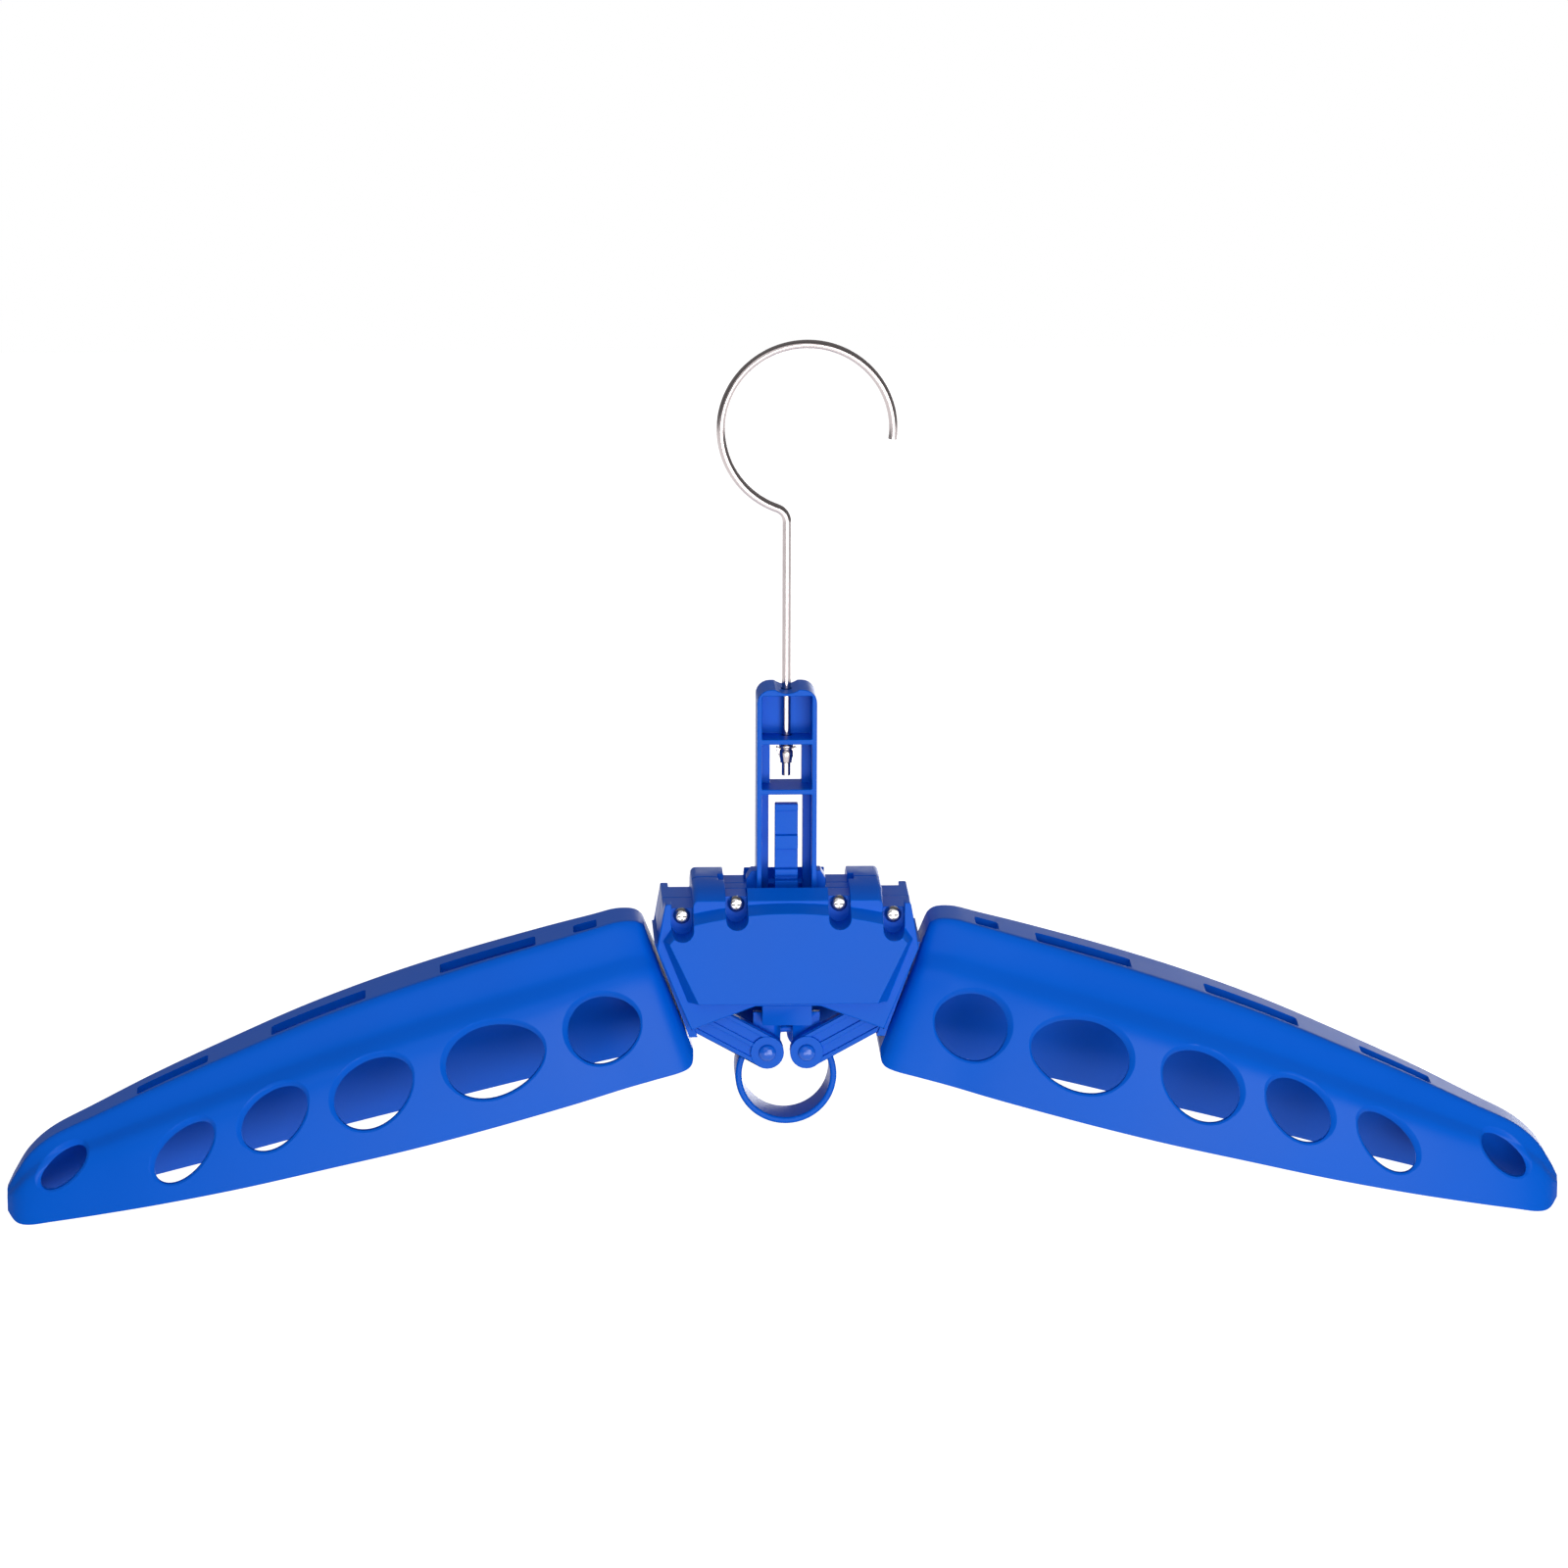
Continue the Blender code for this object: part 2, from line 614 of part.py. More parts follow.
def make_shell(side, name):
    """One half of the housing: block, wall, raised plate, column and two pivot cheeks."""
    reach = HUB_WAIST_HALF + OVERRUN
    block_foot = HUB_TOP_Z - HUB_BLOCK_DROP
    top = HUB_TOP_Z + OVERRUN
    below = HUB_TOP_Z - PIVOT_DROP
    column_foot = HUB_TOP_Z - COLUMN_DROP
    throat = HUB_TOP_Z - HUB_THROAT_DROP
    inner_wall = HUB_HALF_DEPTH - HUB_WALL

    # The wall, the plate raised on it, and the hollow behind both
    shell = slab(name, hub_outline(), *front_or_back(side, GAP / 2, HUB_HALF_DEPTH))
    shell = soften(shell, HUB_RIM, 1, 60)
    base = plate_outline(PLATE_SPREAD_TOP, PLATE_SPREAD_SIDE, PLATE_SPREAD_FOOT, PLATE_SPREAD_DOWN)
    face = plate_outline(0, 0, 0, 0)
    shell = join(shell, tapered("plate", base, face, side * (HUB_HALF_DEPTH - RUNNING_GAP), side * HUB_FACE))
    hollow = slab("hollow", plate_outline(-PLATE_WALL, -PLATE_WALL, -PLATE_WALL, -PLATE_WALL),
                  *front_or_back(side, inner_wall - OVERRUN, HUB_FACE - PLATE_WALL))
    limit = box("limit", (-reach, reach), (-HUB_FACE, HUB_FACE), (below, block_foot))
    hollow = combine(hollow, [limit], "INTERSECT")
    cavity = box("cavity", (-reach, reach), front_or_back(side, -OVERRUN, inner_wall),
                 (below - OVERRUN, block_foot))
    cutters = [hollow, cavity]

    # The top slopes down to the plate
    wedge = box("wedge", (-reach, reach), (-OVERRUN, HUB_FACE), (0, HUB_FACE))
    wedge.data.transform(Matrix.Rotation(-math.atan2(HUB_CHAMFER_DROP, HUB_CHAMFER_DEPTH), 4, "X"))
    wedge.data.transform(Matrix.Translation((0, HUB_FACE - HUB_CHAMFER_DEPTH, HUB_TOP_Z)))
    if side < 0:
        reflect(wedge, "Y")
    cutters.append(wedge)

    # Channels, grooves and holes for the screws, with the outer grooves open to the sides
    half = CHANNEL_WIDTH / 2
    for place in screw_places():
        x, z = place
        cutters.append(channel("channel", place, front_or_back(side, SCREW_SEAT, HUB_FACE + OVERRUN)))
        left = -reach if x == -SCREW_OUTER_X else x - half
        right = reach if x == SCREW_OUTER_X else x + half
        if abs(x) == SCREW_OUTER_X:
            outward = (left, x) if x < 0 else (x, right)
            cutters.append(box("shoulder", outward, front_or_back(side, -OVERRUN, HUB_FACE + OVERRUN),
                               (z + SHOULDER_RISE, top)))
        groove_end = SCREW_SEAT + GAP if side < 0 else HUB_FACE + OVERRUN
        cutters.append(box("groove", (left, right), front_or_back(side, -OVERRUN, groove_end),
                           (z + GROOVE_COVER, top)))
        hole_end = SCREW_SEAT + OVERRUN if side < 0 else SCREW_LENGTH - SCREW_SEAT + RUNNING_GAP
        cutters.append(rod("hole", (x, -side * OVERRUN, z), (x, side * hole_end, z),
                           SCREW_SHANK_RADIUS + GAP))

    # Room for the stem, its ears and the notch in front of it
    stem_half = STEM_HALF + GAP
    stem_near = STEM_NEAR + GAP
    ear_half = EAR_REACH + GAP
    ear_near = EAR_DEPTH / 2 + GAP
    lug_reach = STEM_HALF + STEM_LUG_REACH + GAP
    cutters += [
        box("stem_room", (-stem_half, stem_half), (-stem_near, stem_near), (block_foot - OVERRUN, top)),
        box("ear_room", (-ear_half, ear_half), (-ear_near, ear_near), (HUB_TOP_Z - EAR_DROP - GAP, top)),
        box("notch", (-lug_reach, lug_reach), front_or_back(side, -OVERRUN, STEM_NEAR + STEM_NOTCH_DEPTH),
            (HUB_TOP_Z - STEM_NOTCH_DROP, top)),
    ]
    shell = cut(shell, *cutters)

    # The column and the cheeks that hold the pivot pins
    root_foot = throat + RUNNING_GAP
    parts = [box("column", (-COLUMN_HALF, COLUMN_HALF), front_or_back(side, CHEEK_NEAR, COLUMN_DEPTH),
                 (column_foot, throat + HUB_WALL)),
             box("root", (-COLUMN_HALF + GAP, COLUMN_HALF - GAP),
                 front_or_back(side, COLUMN_DEPTH - OVERRUN, inner_wall + RUNNING_GAP),
                 (root_foot, throat + HUB_WALL - GAP))]
    cheek_side = front_or_back(side, CHEEK_NEAR - RUNNING_GAP / 2, CHEEK_NEAR + CHEEK_THICKNESS)
    for pivot in (-PIVOT_X, PIVOT_X):
        outline = [(pivot + CHEEK_RADIUS, column_foot + HUB_WALL),
                   (pivot - CHEEK_RADIUS, column_foot + HUB_WALL)]
        outline += arc((pivot, PIVOT_Z), CHEEK_RADIUS, 180, 360, 12)
        parts.append(slab("cheek", outline, *cheek_side))
    shell = join(shell, *parts)
    pin_holes = [rod("pin_hole", (x, 0, PIVOT_Z), (x, side * HUB_FACE, PIVOT_Z), PIVOT_RADIUS + GAP)
                 for x in (-PIVOT_X, PIVOT_X)]
    shell = cut(shell, *pin_holes)
    finish(shell, name, BLUE, FRAME_AXIS)


def make_screws():
    """The four pan-head screws that hold the housing together."""
    recess_floor = SCREW_HEAD_HEIGHT - SCREW_RECESS_DEPTH
    profile = [(0, recess_floor), (SCREW_RECESS_RADIUS, recess_floor),
               (SCREW_RECESS_RADIUS, SCREW_HEAD_HEIGHT)]
    profile += [(SCREW_HEAD_RADIUS * out, SCREW_HEAD_HEIGHT * up) for out, up in SCREW_HEAD_SHARES]
    profile += [(SCREW_HEAD_RADIUS, 0), (SCREW_SHANK_RADIUS, 0), (SCREW_SHANK_RADIUS, -SCREW_LENGTH),
                (0, -SCREW_LENGTH)]
    names = ("screw_outer_left", "screw_inner_left", "screw_inner_right", "screw_outer_right")
    for name, (x, z) in zip(names, screw_places()):
        screw = turned(name, profile, (x, -SCREW_SEAT - GAP, z), (0, -1, 0), 20)
        finish(screw, name, STEEL, FRAME_AXIS)


def make_pins():
    """A domed pivot pin through each cheek and lever knuckle."""
    start = CHEEK_NEAR - GAP
    length = KNUCKLE_FAR + GAP - start
    dome = [(PIVOT_HEAD_RADIUS * out, length + PIVOT_HEAD_HEIGHT * up) for out, up in PIN_DOME_SHARES]
    profile = dome + [(PIVOT_RADIUS, length), (PIVOT_RADIUS, 0), (0, 0)]
    for side, face in ((-1, "front"), (1, "rear")):
        for x, hand in ((-PIVOT_X, "left"), (PIVOT_X, "right")):
            name = "pivot_pin_%s_%s" % (hand, face)
            pin = turned(name, profile, (x, side * start, PIVOT_Z), (0, side, 0), 16)
            finish(pin, name, BLUE, FRAME_AXIS)


def end_line(offset):
    """Two points of the line along an arm's inner end, moved towards the hub by the offset."""
    first, last = arm_ends(0)
    run = (Vector(last) - Vector(first)).normalized()
    inward = Vector((-run[1], run[0]))
    return Vector(first) + inward * offset, Vector(last) + inward * offset


def point_at_height(line, z):
    """The point of a line at one height."""
    first, last = line
    share = (z - first[1]) / (last[1] - first[1])
    return (first[0] + (last[0] - first[0]) * share, z)


def make_yoke():
    """The left yoke: a plate at the arm's end, a tenon into the hub and two ribbed levers."""
    outer = end_line(GAP)
    inner = end_line(GAP + YOKE_PLATE)
    top = HUB_TOP_Z - YOKE_TOP_DROP
    foot = HUB_TOP_Z - YOKE_FOOT_DROP
    outline = [point_at_height(outer, top), point_at_height(inner, top),
               point_at_height(inner, foot), point_at_height(outer, foot)]
    yoke = slab("yoke", outline, -YOKE_HALF_DEPTH, YOKE_HALF_DEPTH)
    tenon_x = point_at_height(outer, top - TENON_HEIGHT)[0] + RUNNING_GAP
    tenon = box("tenon", (tenon_x, tenon_x + TENON_REACH), (-TENON_HALF_DEPTH, TENON_HALF_DEPTH),
                (top - TENON_HEIGHT, top - RUNNING_GAP))
    pivot = Vector((-PIVOT_X, PIVOT_Z))
    rise = math.radians(LEVER_RISE_DEG)
    along = Vector((-math.cos(rise), math.sin(rise)))
    across = Vector((math.sin(rise), math.cos(rise)))
    middle = [(a + b) / 2 for a, b in zip(outer, inner)]
    wall = (middle[1] - middle[0]).normalized()
    rib = LEVER_RIB_WIDTH / 2
    edge = LEVER_WIDTH / 2
    strips = [(edge, -edge, 0, LEVER_THICKNESS)]
    for centre in (rib + GAP - edge, 0, edge - rib - GAP):
        strips.append((centre + rib, centre - rib, GAP, LEVER_THICKNESS + LEVER_RIB_HEIGHT - GAP))
    parts = [tenon]
    for side in (-1, 1):
        for upper, lower, inset, thickness in strips:
            outline = []
            for offset in (upper, lower):
                start = pivot + across * offset + along * inset
                gap = middle[0] - start
                reach = (gap[0] * wall[1] - gap[1] * wall[0]) / (along[0] * wall[1] - along[1] * wall[0])
                outline += [start, start + along * (reach - inset)]
            outline[2:] = outline[:1:-1]
            depths = front_or_back(side, LEVER_NEAR + inset, LEVER_NEAR + thickness)
            parts.append(slab("lever", outline, *depths))
        parts.append(rod("knuckle", (-PIVOT_X, side * (LEVER_NEAR - RUNNING_GAP / 4), PIVOT_Z),
                         (-PIVOT_X, side * KNUCKLE_FAR, PIVOT_Z), KNUCKLE_RADIUS))
    yoke = join(yoke, *parts)
    hole = rod("hole", (-PIVOT_X, -HUB_FACE, PIVOT_Z), (-PIVOT_X, HUB_FACE, PIVOT_Z), PIVOT_RADIUS + GAP)
    return cut(yoke, hole)


def smooth_between(rows, place):
    """A row between given rows, on a smooth curve through them; place runs from 0 to 1."""
    span = place * (len(rows) - 1)
    i = min(int(span), len(rows) - 2)
    t = span - i
    before = rows[max(i - 1, 0)]
    after = rows[min(i + 2, len(rows) - 1)]
    mixed = []
    for a, b, c, d in zip(before, rows[i], rows[i + 1], after):
        mixed.append(b + t * (c - a) / 2 + t * t * (a - 2.5 * b + 2 * c - d / 2)
                     + t * t * t * (1.5 * (b - c) + (d - a) / 2))
    return mixed


def arm_ends(place):
    """The top and bottom points of an arm's section, in X and Z."""
    top_along, top_down, foot_along, foot_down, _ = smooth_between(ARM_STATION_SHARES, place)
    top_z = HUB_TOP_Z - ARM_TOP_DROP
    return ((ARM_ROOT_X - top_along * ARM_REACH, top_z - top_down * ARM_DROP),
            (ARM_ROOT_X - foot_along * ARM_REACH, top_z - foot_down * ARM_DROP))


def arm_solid(name, wall):
    """The left arm as a solid, or what is inside its wall: open below, closed at the ends."""
    half = list(ARM_SECTION_SHARES)
    around = [(-out, up) for out, up in half] + [(out, up) for out, up in reversed(half[:-1])]
    last = 1 - ARM_TIP_SHARE if wall else 1
    first = 1 / (len(ARM_STATION_SHARES) - 1) * ARM_END_WALL_SHARE if wall else 0
    shape = bmesh.new()
    rows = []
    for i in range(ARM_STATIONS):
        place = first + (last - first) * i / (ARM_STATIONS - 1)
        top, foot = (Vector(end) for end in arm_ends(place))
        depth = smooth_between(ARM_STATION_SHARES, place)[4] * ARM_HALF_DEPTH
        highest = 1 - wall / (top - foot).length
        row = []
        for out, up in around:
            reach = out * depth - math.copysign(wall, out) * (out != 0)
            spot = foot + (top - foot) * (min(up, highest) if up or not wall else -OVERRUN / (top - foot).length)
            row.append(shape.verts.new((spot[0], reach, spot[1])))
        rows.append(row)
    for one, other in zip(rows, rows[1:]):
        for i in range(len(one)):
            j = (i + 1) % len(one)
            shape.faces.new((one[i], one[j], other[j], other[i]))
    shape.faces.new(rows[0])
    shape.faces.new(list(reversed(rows[-1])))
    return from_bmesh(name, shape)


def place_on_arm(along):
    """The top point, the slope and the half depth of the arm at a share of its reach."""
    steps = 200
    for i in range(steps):
        place = i / steps
        if smooth_between(ARM_STATION_SHARES, place)[0] >= along:
            break
    here = Vector(arm_ends(place)[0])
    there = Vector(arm_ends(place + 1 / steps)[0])
    run = there - here
    return here, math.atan2(run[1], -run[0]), smooth_between(ARM_STATION_SHARES, place)[4]


def make_arm():
    """The left arm: a thin shell with holes in its front wall and slots in its top."""
    arm = arm_solid("arm", 0)
    cutters = [arm_solid("inside", ARM_WALL)]
    for along, down, length, width, tilt in ARM_HOLE_SHARES:
        x = ARM_ROOT_X - along * ARM_REACH
        z = HUB_TOP_Z - ARM_TOP_DROP - down * ARM_DROP
        turn = math.radians(tilt)
        outline = []
        for i in range(HOLE_SIDES):
            angle = math.tau * i / HOLE_SIDES
            u = length * ARM_HALF_DEPTH * math.cos(angle)
            v = width * ARM_HALF_DEPTH * math.sin(angle)
            outline.append((x + u * math.cos(turn) - v * math.sin(turn),
                            z + u * math.sin(turn) + v * math.cos(turn)))
        cutters.append(slab("hole", outline, -ARM_HALF_DEPTH - OVERRUN, 0))
    for along, length in zip(ARM_SLOT_SHARES, SLOT_LENGTHS):
        top, slope, depth_share = place_on_arm(along)
        near = -SLOT_FAR * depth_share
        far = SLOT_NEAR * depth_share
        deep = ARM_WALL + OVERRUN
        slot = box("slot", (-length / 2, length / 2), (near, far), (-deep, OVERRUN))
        slot.data.transform(Matrix.Translation((top[0], 0, top[1])) @ Matrix.Rotation(slope, 4, "Y"))
        cutters.append(slot)
    return cut(arm, *cutters)


def make_sides():
    """Both arms and both yokes, each on the empty at its pivot."""
    arm = make_arm()
    yoke = make_yoke()
    finish(opposite(arm, "right_arm"), "right_arm", BLUE, RIGHT_AXIS)
    finish(opposite(yoke, "right_yoke"), "right_yoke", BLUE, RIGHT_AXIS)
    finish(arm, "left_arm", BLUE, LEFT_AXIS)
    finish(yoke, "left_yoke", BLUE, LEFT_AXIS)


def make_tongue():
    """The latch tongue: hooked lip, sloped step, thumb button and a round root."""
    half = TONGUE_WIDTH / 2
    front = -TONGUE_FRONT
    back = front + TONGUE_THICKNESS
    tongue = box("tongue", (-half, half), (front, back), (TONGUE_HINGE_Z, TONGUE_TOP_Z))
    parts = [box("lip", (-half, half), (front - LIP_REACH, back - RUNNING_GAP),
                 (TONGUE_TOP_Z - LIP_HEIGHT, TONGUE_TOP_Z + RUNNING_GAP))]
    for drop, height, reach in ((STEP_DROP, STEP_HEIGHT, STEP_REACH), (BAR_DROP, BAR_HEIGHT, BAR_REACH),
                                (BUTTON_DROP, BUTTON_HEIGHT, BUTTON_REACH)):
        parts.append(box("block", (-half, half), (front - reach, back - RUNNING_GAP),
                         (TONGUE_TOP_Z - drop - height, TONGUE_TOP_Z - drop)))
    parts.append(rod("root", (-half, front + TONGUE_THICKNESS / 2, TONGUE_HINGE_Z),
                     (half, front + TONGUE_THICKNESS / 2, TONGUE_HINGE_Z), TONGUE_ROOT_RADIUS))
    finish(join(tongue, *parts), "latch_tongue", BLUE, LATCH_AXIS)


def make_slide():
    """The pull slide and the finger ring under it."""
    half = STRAP_WIDTH / 2
    top = TONGUE_HINGE_Z - TONGUE_ROOT_RADIUS - GAP
    ring_top = RING_Z + RING_RADIUS + GAP
    near = STRAP_THICKNESS / 2
    slide = box("slide", (-half, half), (-near, near), (ring_top + FOOT_HEIGHT / 2, top))
    foot = FOOT_SIZE / 2
    slide = join(slide, box("foot", (-foot, foot), (-foot, foot), (ring_top, ring_top + FOOT_HEIGHT)))
    finish(slide, "pull_slide", BLUE, SLIDE_AXIS)
    inner = RING_RADIUS - RING_THICKNESS
    half = RING_WIDTH / 2
    profile = [(inner, half), (RING_RADIUS, half), (RING_RADIUS, -half), (inner, -half)]
    ring = turned("ring", profile, (0, 0, RING_Z), (0, 1, 0), 48)
    finish(ring, "finger_ring", BLUE, SLIDE_AXIS)


clear_scene()
PARTS = new_collection("wetsuit_hanger")
FRAME_AXIS = axis_empty("hook_swivel_axis", (0, 0, STEM_TOP_Z))
LEFT_AXIS = axis_empty("left_fold_axis", (-PIVOT_X, 0, PIVOT_Z))
RIGHT_AXIS = axis_empty("right_fold_axis", (PIVOT_X, 0, PIVOT_Z))
SLIDE_AXIS = axis_empty("slide_axis", (0, 0, RING_Z))
LATCH_AXIS = axis_empty("latch_axis", (0, TONGUE_THICKNESS / 2 - TONGUE_FRONT, TONGUE_HINGE_Z))
make_hook()
make_stem()
make_shell(-1, "front_shell")
make_shell(1, "rear_shell")
make_screws()
make_pins()
make_sides()
make_tongue()
make_slide()
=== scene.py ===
"""Looks of the folding wetsuit hanger: finer shapes, moulded plastic and polished steel."""
import math

import bmesh
import bpy
from mathutils import Matrix, Vector


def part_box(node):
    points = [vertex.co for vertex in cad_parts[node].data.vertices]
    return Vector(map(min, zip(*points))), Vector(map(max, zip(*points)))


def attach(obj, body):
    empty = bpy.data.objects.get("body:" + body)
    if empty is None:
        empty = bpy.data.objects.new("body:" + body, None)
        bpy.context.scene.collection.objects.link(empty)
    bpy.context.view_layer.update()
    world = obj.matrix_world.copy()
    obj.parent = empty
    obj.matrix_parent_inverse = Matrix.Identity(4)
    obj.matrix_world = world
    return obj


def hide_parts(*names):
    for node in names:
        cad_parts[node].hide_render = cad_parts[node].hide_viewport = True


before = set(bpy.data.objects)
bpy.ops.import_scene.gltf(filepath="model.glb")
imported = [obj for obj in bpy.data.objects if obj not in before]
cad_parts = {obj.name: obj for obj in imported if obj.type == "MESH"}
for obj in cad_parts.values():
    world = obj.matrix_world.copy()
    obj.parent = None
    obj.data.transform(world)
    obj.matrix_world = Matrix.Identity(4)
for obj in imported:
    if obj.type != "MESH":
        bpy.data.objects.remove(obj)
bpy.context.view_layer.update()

# Lengths are in metres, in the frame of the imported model; tables in mm say so
MM = 0.001
WELD = 0.0002 * MM      # points closer than this become one
OVER = 2 * MM           # how far a cutter reaches past what it cuts

# Camera: the photograph's frame, and where it is seen from
IMAGE_SIDE = 1600
METRES_PER_PIXEL = 0.000298
SENSOR_WIDTH = 36       # in mm, as the lens
VIEW_DISTANCE = 2.8
AZIMUTH = math.radians(2.5)
ELEVATION = math.radians(14.0)
ROLL = math.radians(-0.2)
AIM = Vector((-0.0006, 0, -0.1341))

# Floor: half its side, its height, and its colour and glow where it is seen. It is darker as
# a source of light.
FLOOR_REACH = 12.0
FLOOR_LEVEL = -2.4
FLOOR_COLOUR = (0.85, 0.85, 0.85, 1)
FLOOR_GLOW = 0.86
FLOOR_DARK = (0.3, 0.3, 0.3, 1)

# World: an axis, the range along it and the strength at its start and end, as the hanger is
# lit and as its gloss shows it
WORLD_LIGHT = ("Z", -0.3, 0.4, 0.04, 0.40)
WORLD_GLOSS = ("Y", -0.6, 0.9, 0.12, 0.25)
WHITE = (1, 1, 1, 1)

# Lamps: name, place, point that it faces, side and power
LAMPS = (
    ("key", (0.7, -2.2, -0.42), (0, 0, -0.18), 1.2, 27),
    ("sheen", (-0.3, -2.2, -0.8), (0, 0, -0.18), 0.6, 6),
    ("fill", (-0.5, -2.4, 0.8), (0, 0, -0.15), 1.5, 7),
    ("rear", (0.6, 2.2, -0.6), (0, 0, -0.18), 1.2, 14),
)

# Plastic: its blue, and the noise that shifts it from a darker share of each channel to the full
BLUE = (0.0, 0.125, 0.74)
DRIFT_SHADE = (0.93, 0.94, 0.95)
DRIFT_START, DRIFT_END = 0.3, 0.7

# Shading: how many degrees an edge turns to stay sharp, and how much large faces lead
ROUND_SHARP = 40
TURNED_SHARP = 48
SOFT_SHARP, SOFT_WEIGHT = 50, 80
ARM_SHARP, ARM_WEIGHT = 24, 50

# Rounding
SOFTEN_OVER = math.radians(28)      # edges that turn by more than this are rounded
FLAT_WITHIN = math.radians(0.6)     # faces that turn by less than this become one
PLANE_WITHIN = math.radians(0.5)    # faces that bend by more than this are split
SIDE_SHARE = 0.49       # the most of a side that one rounded corner of an outline takes

# Housing: corners that run front to back are rounded more, down to this far below the stem's
# top and up to this near to the middle
HOUSING = ("front_shell", "rear_shell")
CREST_DROP = 60.4 * MM
CREST_NEAR = 24 * MM
CREST_ROUND = 1.6 * MM
CREST_ALONG = 0.7       # the least share of an edge's length that runs front to back
CREST_TURN = 0.5        # the least angle between its faces, in radians
# The small block under each plate, whose corners stay crisp: its range in x and in z
TOE = ((-9.5 * MM, 9.5 * MM), (-206.5 * MM, -192.5 * MM))

# Pieces that keep their solid's shape: node, body and the width of their rounded edges in mm
REFINED = (
    ("front_shell", "frame", 0.25), ("rear_shell", "frame", 0.25), ("stem", "frame", 0.3),
    ("left_yoke", "left_side", 0.15), ("right_yoke", "right_side", 0.15),
    ("latch_tongue", "latch", 0.25), ("pull_slide", "slide", 0.15),
)
WASHER_SOFT = 0.15 * MM

# Hook: its large bend, how far that is off the shank, and where it ends and leaves
HOOK_RADIUS = 26 * MM
HOOK_OFFSET = 6 * MM
HOOK_END_DEG = -7
HOOK_LEAVE_DEG = 250
HOOK_STEPS, SMALL_BEND_STEPS = 150, 16

# Screws: the head's height, its profile as shares of its radius and height, its shank,
# and the arms, thickness and depth of the cross with the pit in its middle
HEAD_HEIGHT = 1.6 * MM
HEAD_PROFILE = ((0, 1), (0.45, 0.985), (0.7, 0.92), (0.86, 0.79), (0.96, 0.58), (1, 0.34),
                (1, 0.1), (0.97, 0))
SHANK_SHARE = 0.52
CROSS_WIDE, CROSS_THIN, CROSS_DEEP = 0.54, 0.13, 0.7
CROSS_UNEVEN = 1.001    # keeps the two arms of the cross from sharing planes
PIT_MOUTH, PIT_FLOOR, PIT_LEVEL = 0.3, 0.16, 0.2

# Ferrule: its body and one wing, as shares of its radius or reach and of its height from the top
FERRULE_BODY = ((0.90, 0.0), (0.98, 0.04), (0.98, 0.14), (0.86, 0.19), (0.84, 0.25),
                (0.97, 0.33), (1.0, 0.45), (0.98, 0.6), (0.90, 0.74), (0.84, 0.85), (0.80, 1.0))
FERRULE_WING = ((0.3, 0.2), (0.62, 0.2), (0.97, 0.1), (1.0, 0.22), (0.9, 0.42), (0.66, 0.66),
                (0.3, 0.76))
WING_HALF = 0.42        # half a wing's thickness, as a share of the radius
WING_CORNER = 0.25 * MM
FERRULE_PLAY = 0.3 * MM     # between the wire and the bore
FERRULE_SOFT = 0.18 * MM

# Pivot pins and finger ring
PIN_DOME = 1.1 * MM
PIN_SHANK = 0.69        # as a share of the dome's radius
DOME_STEP_DEG = 9
RING_THICKNESS = 2 * MM
RING_ROLL = 0.75 * MM

# Arm: stations of (top x, top z, bottom x, bottom z, half depth) in mm along the left arm
ARM_ROWS = (
    (-43.0, -177.6, -28.5, -214.4, 12.0), (-43.9, -176.0, -29.0, -218.2, 14.9),
    (-46.6, -174.7, -32.2, -220.1, 16.9), (-52.0, -174.9, -41.0, -222.3, 18.3),
    (-59.2, -176.9, -50.2, -224.7, 19.3), (-75.3, -181.4, -66.0, -229.0, 21.7),
    (-99.3, -188.5, -91.0, -235.7, 23.6), (-123.5, -196.5, -115.0, -241.9, 24.1),
    (-147.0, -205.4, -140.0, -248.0, 23.1), (-171.0, -215.9, -166.0, -254.5, 21.0),
    (-193.0, -226.0, -190.0, -260.0, 18.2), (-211.0, -235.0, -210.0, -264.3, 14.9),
    (-224.0, -241.6, -224.0, -267.2, 12.1), (-231.2, -247.7, -231.5, -268.8, 9.9),
    (-235.5, -254.2, -235.5, -268.5, 7.5), (-238.2, -259.4, -238.1, -265.8, 4.3),
)
# Half its section, from the bottom edge to the top's middle: shares of half depth and height
ARM_SECTION = ((1.0, 0.0), (0.99, 0.18), (0.975, 0.36), (0.955, 0.52), (0.93, 0.62), (0.88, 0.69),
               (0.79, 0.74), (0.70, 0.785), (0.64, 0.84), (0.59, 0.90), (0.545, 0.955),
               (0.50, 0.986), (0.44, 1.0), (0.22, 1.0), (0.0, 1.0))
ARM_WALL = 2.2 * MM
# Its skin and the hollow in it: stations, steps of half the section, and the places along
# the arm where each starts and ends
SKIN = (121, 42, 0, 1)
HOLLOW = (91, 30, 0.113, 0.91)

# Holes in the front: x, z, half length and half width in mm, tilt in degrees
ARM_HOLES = ((-55.7, -206.1, 11.2, 10.2, 20.0), (-88.9, -214.7, 15.4, 10.9, 18.0),
             (-125.7, -224.3, 13.4, 9.5, 40.0), (-155.8, -232.7, 12.2, 7.5, 45.5),
             (-183.4, -243.9, 12.0, 6.0, 48.0), (-220.4, -250.5, 9.1, 3.8, 43.0))
HOLE_SIDES = 56
LEAF = 0.11             # how much narrower a hole is at its upper inner end
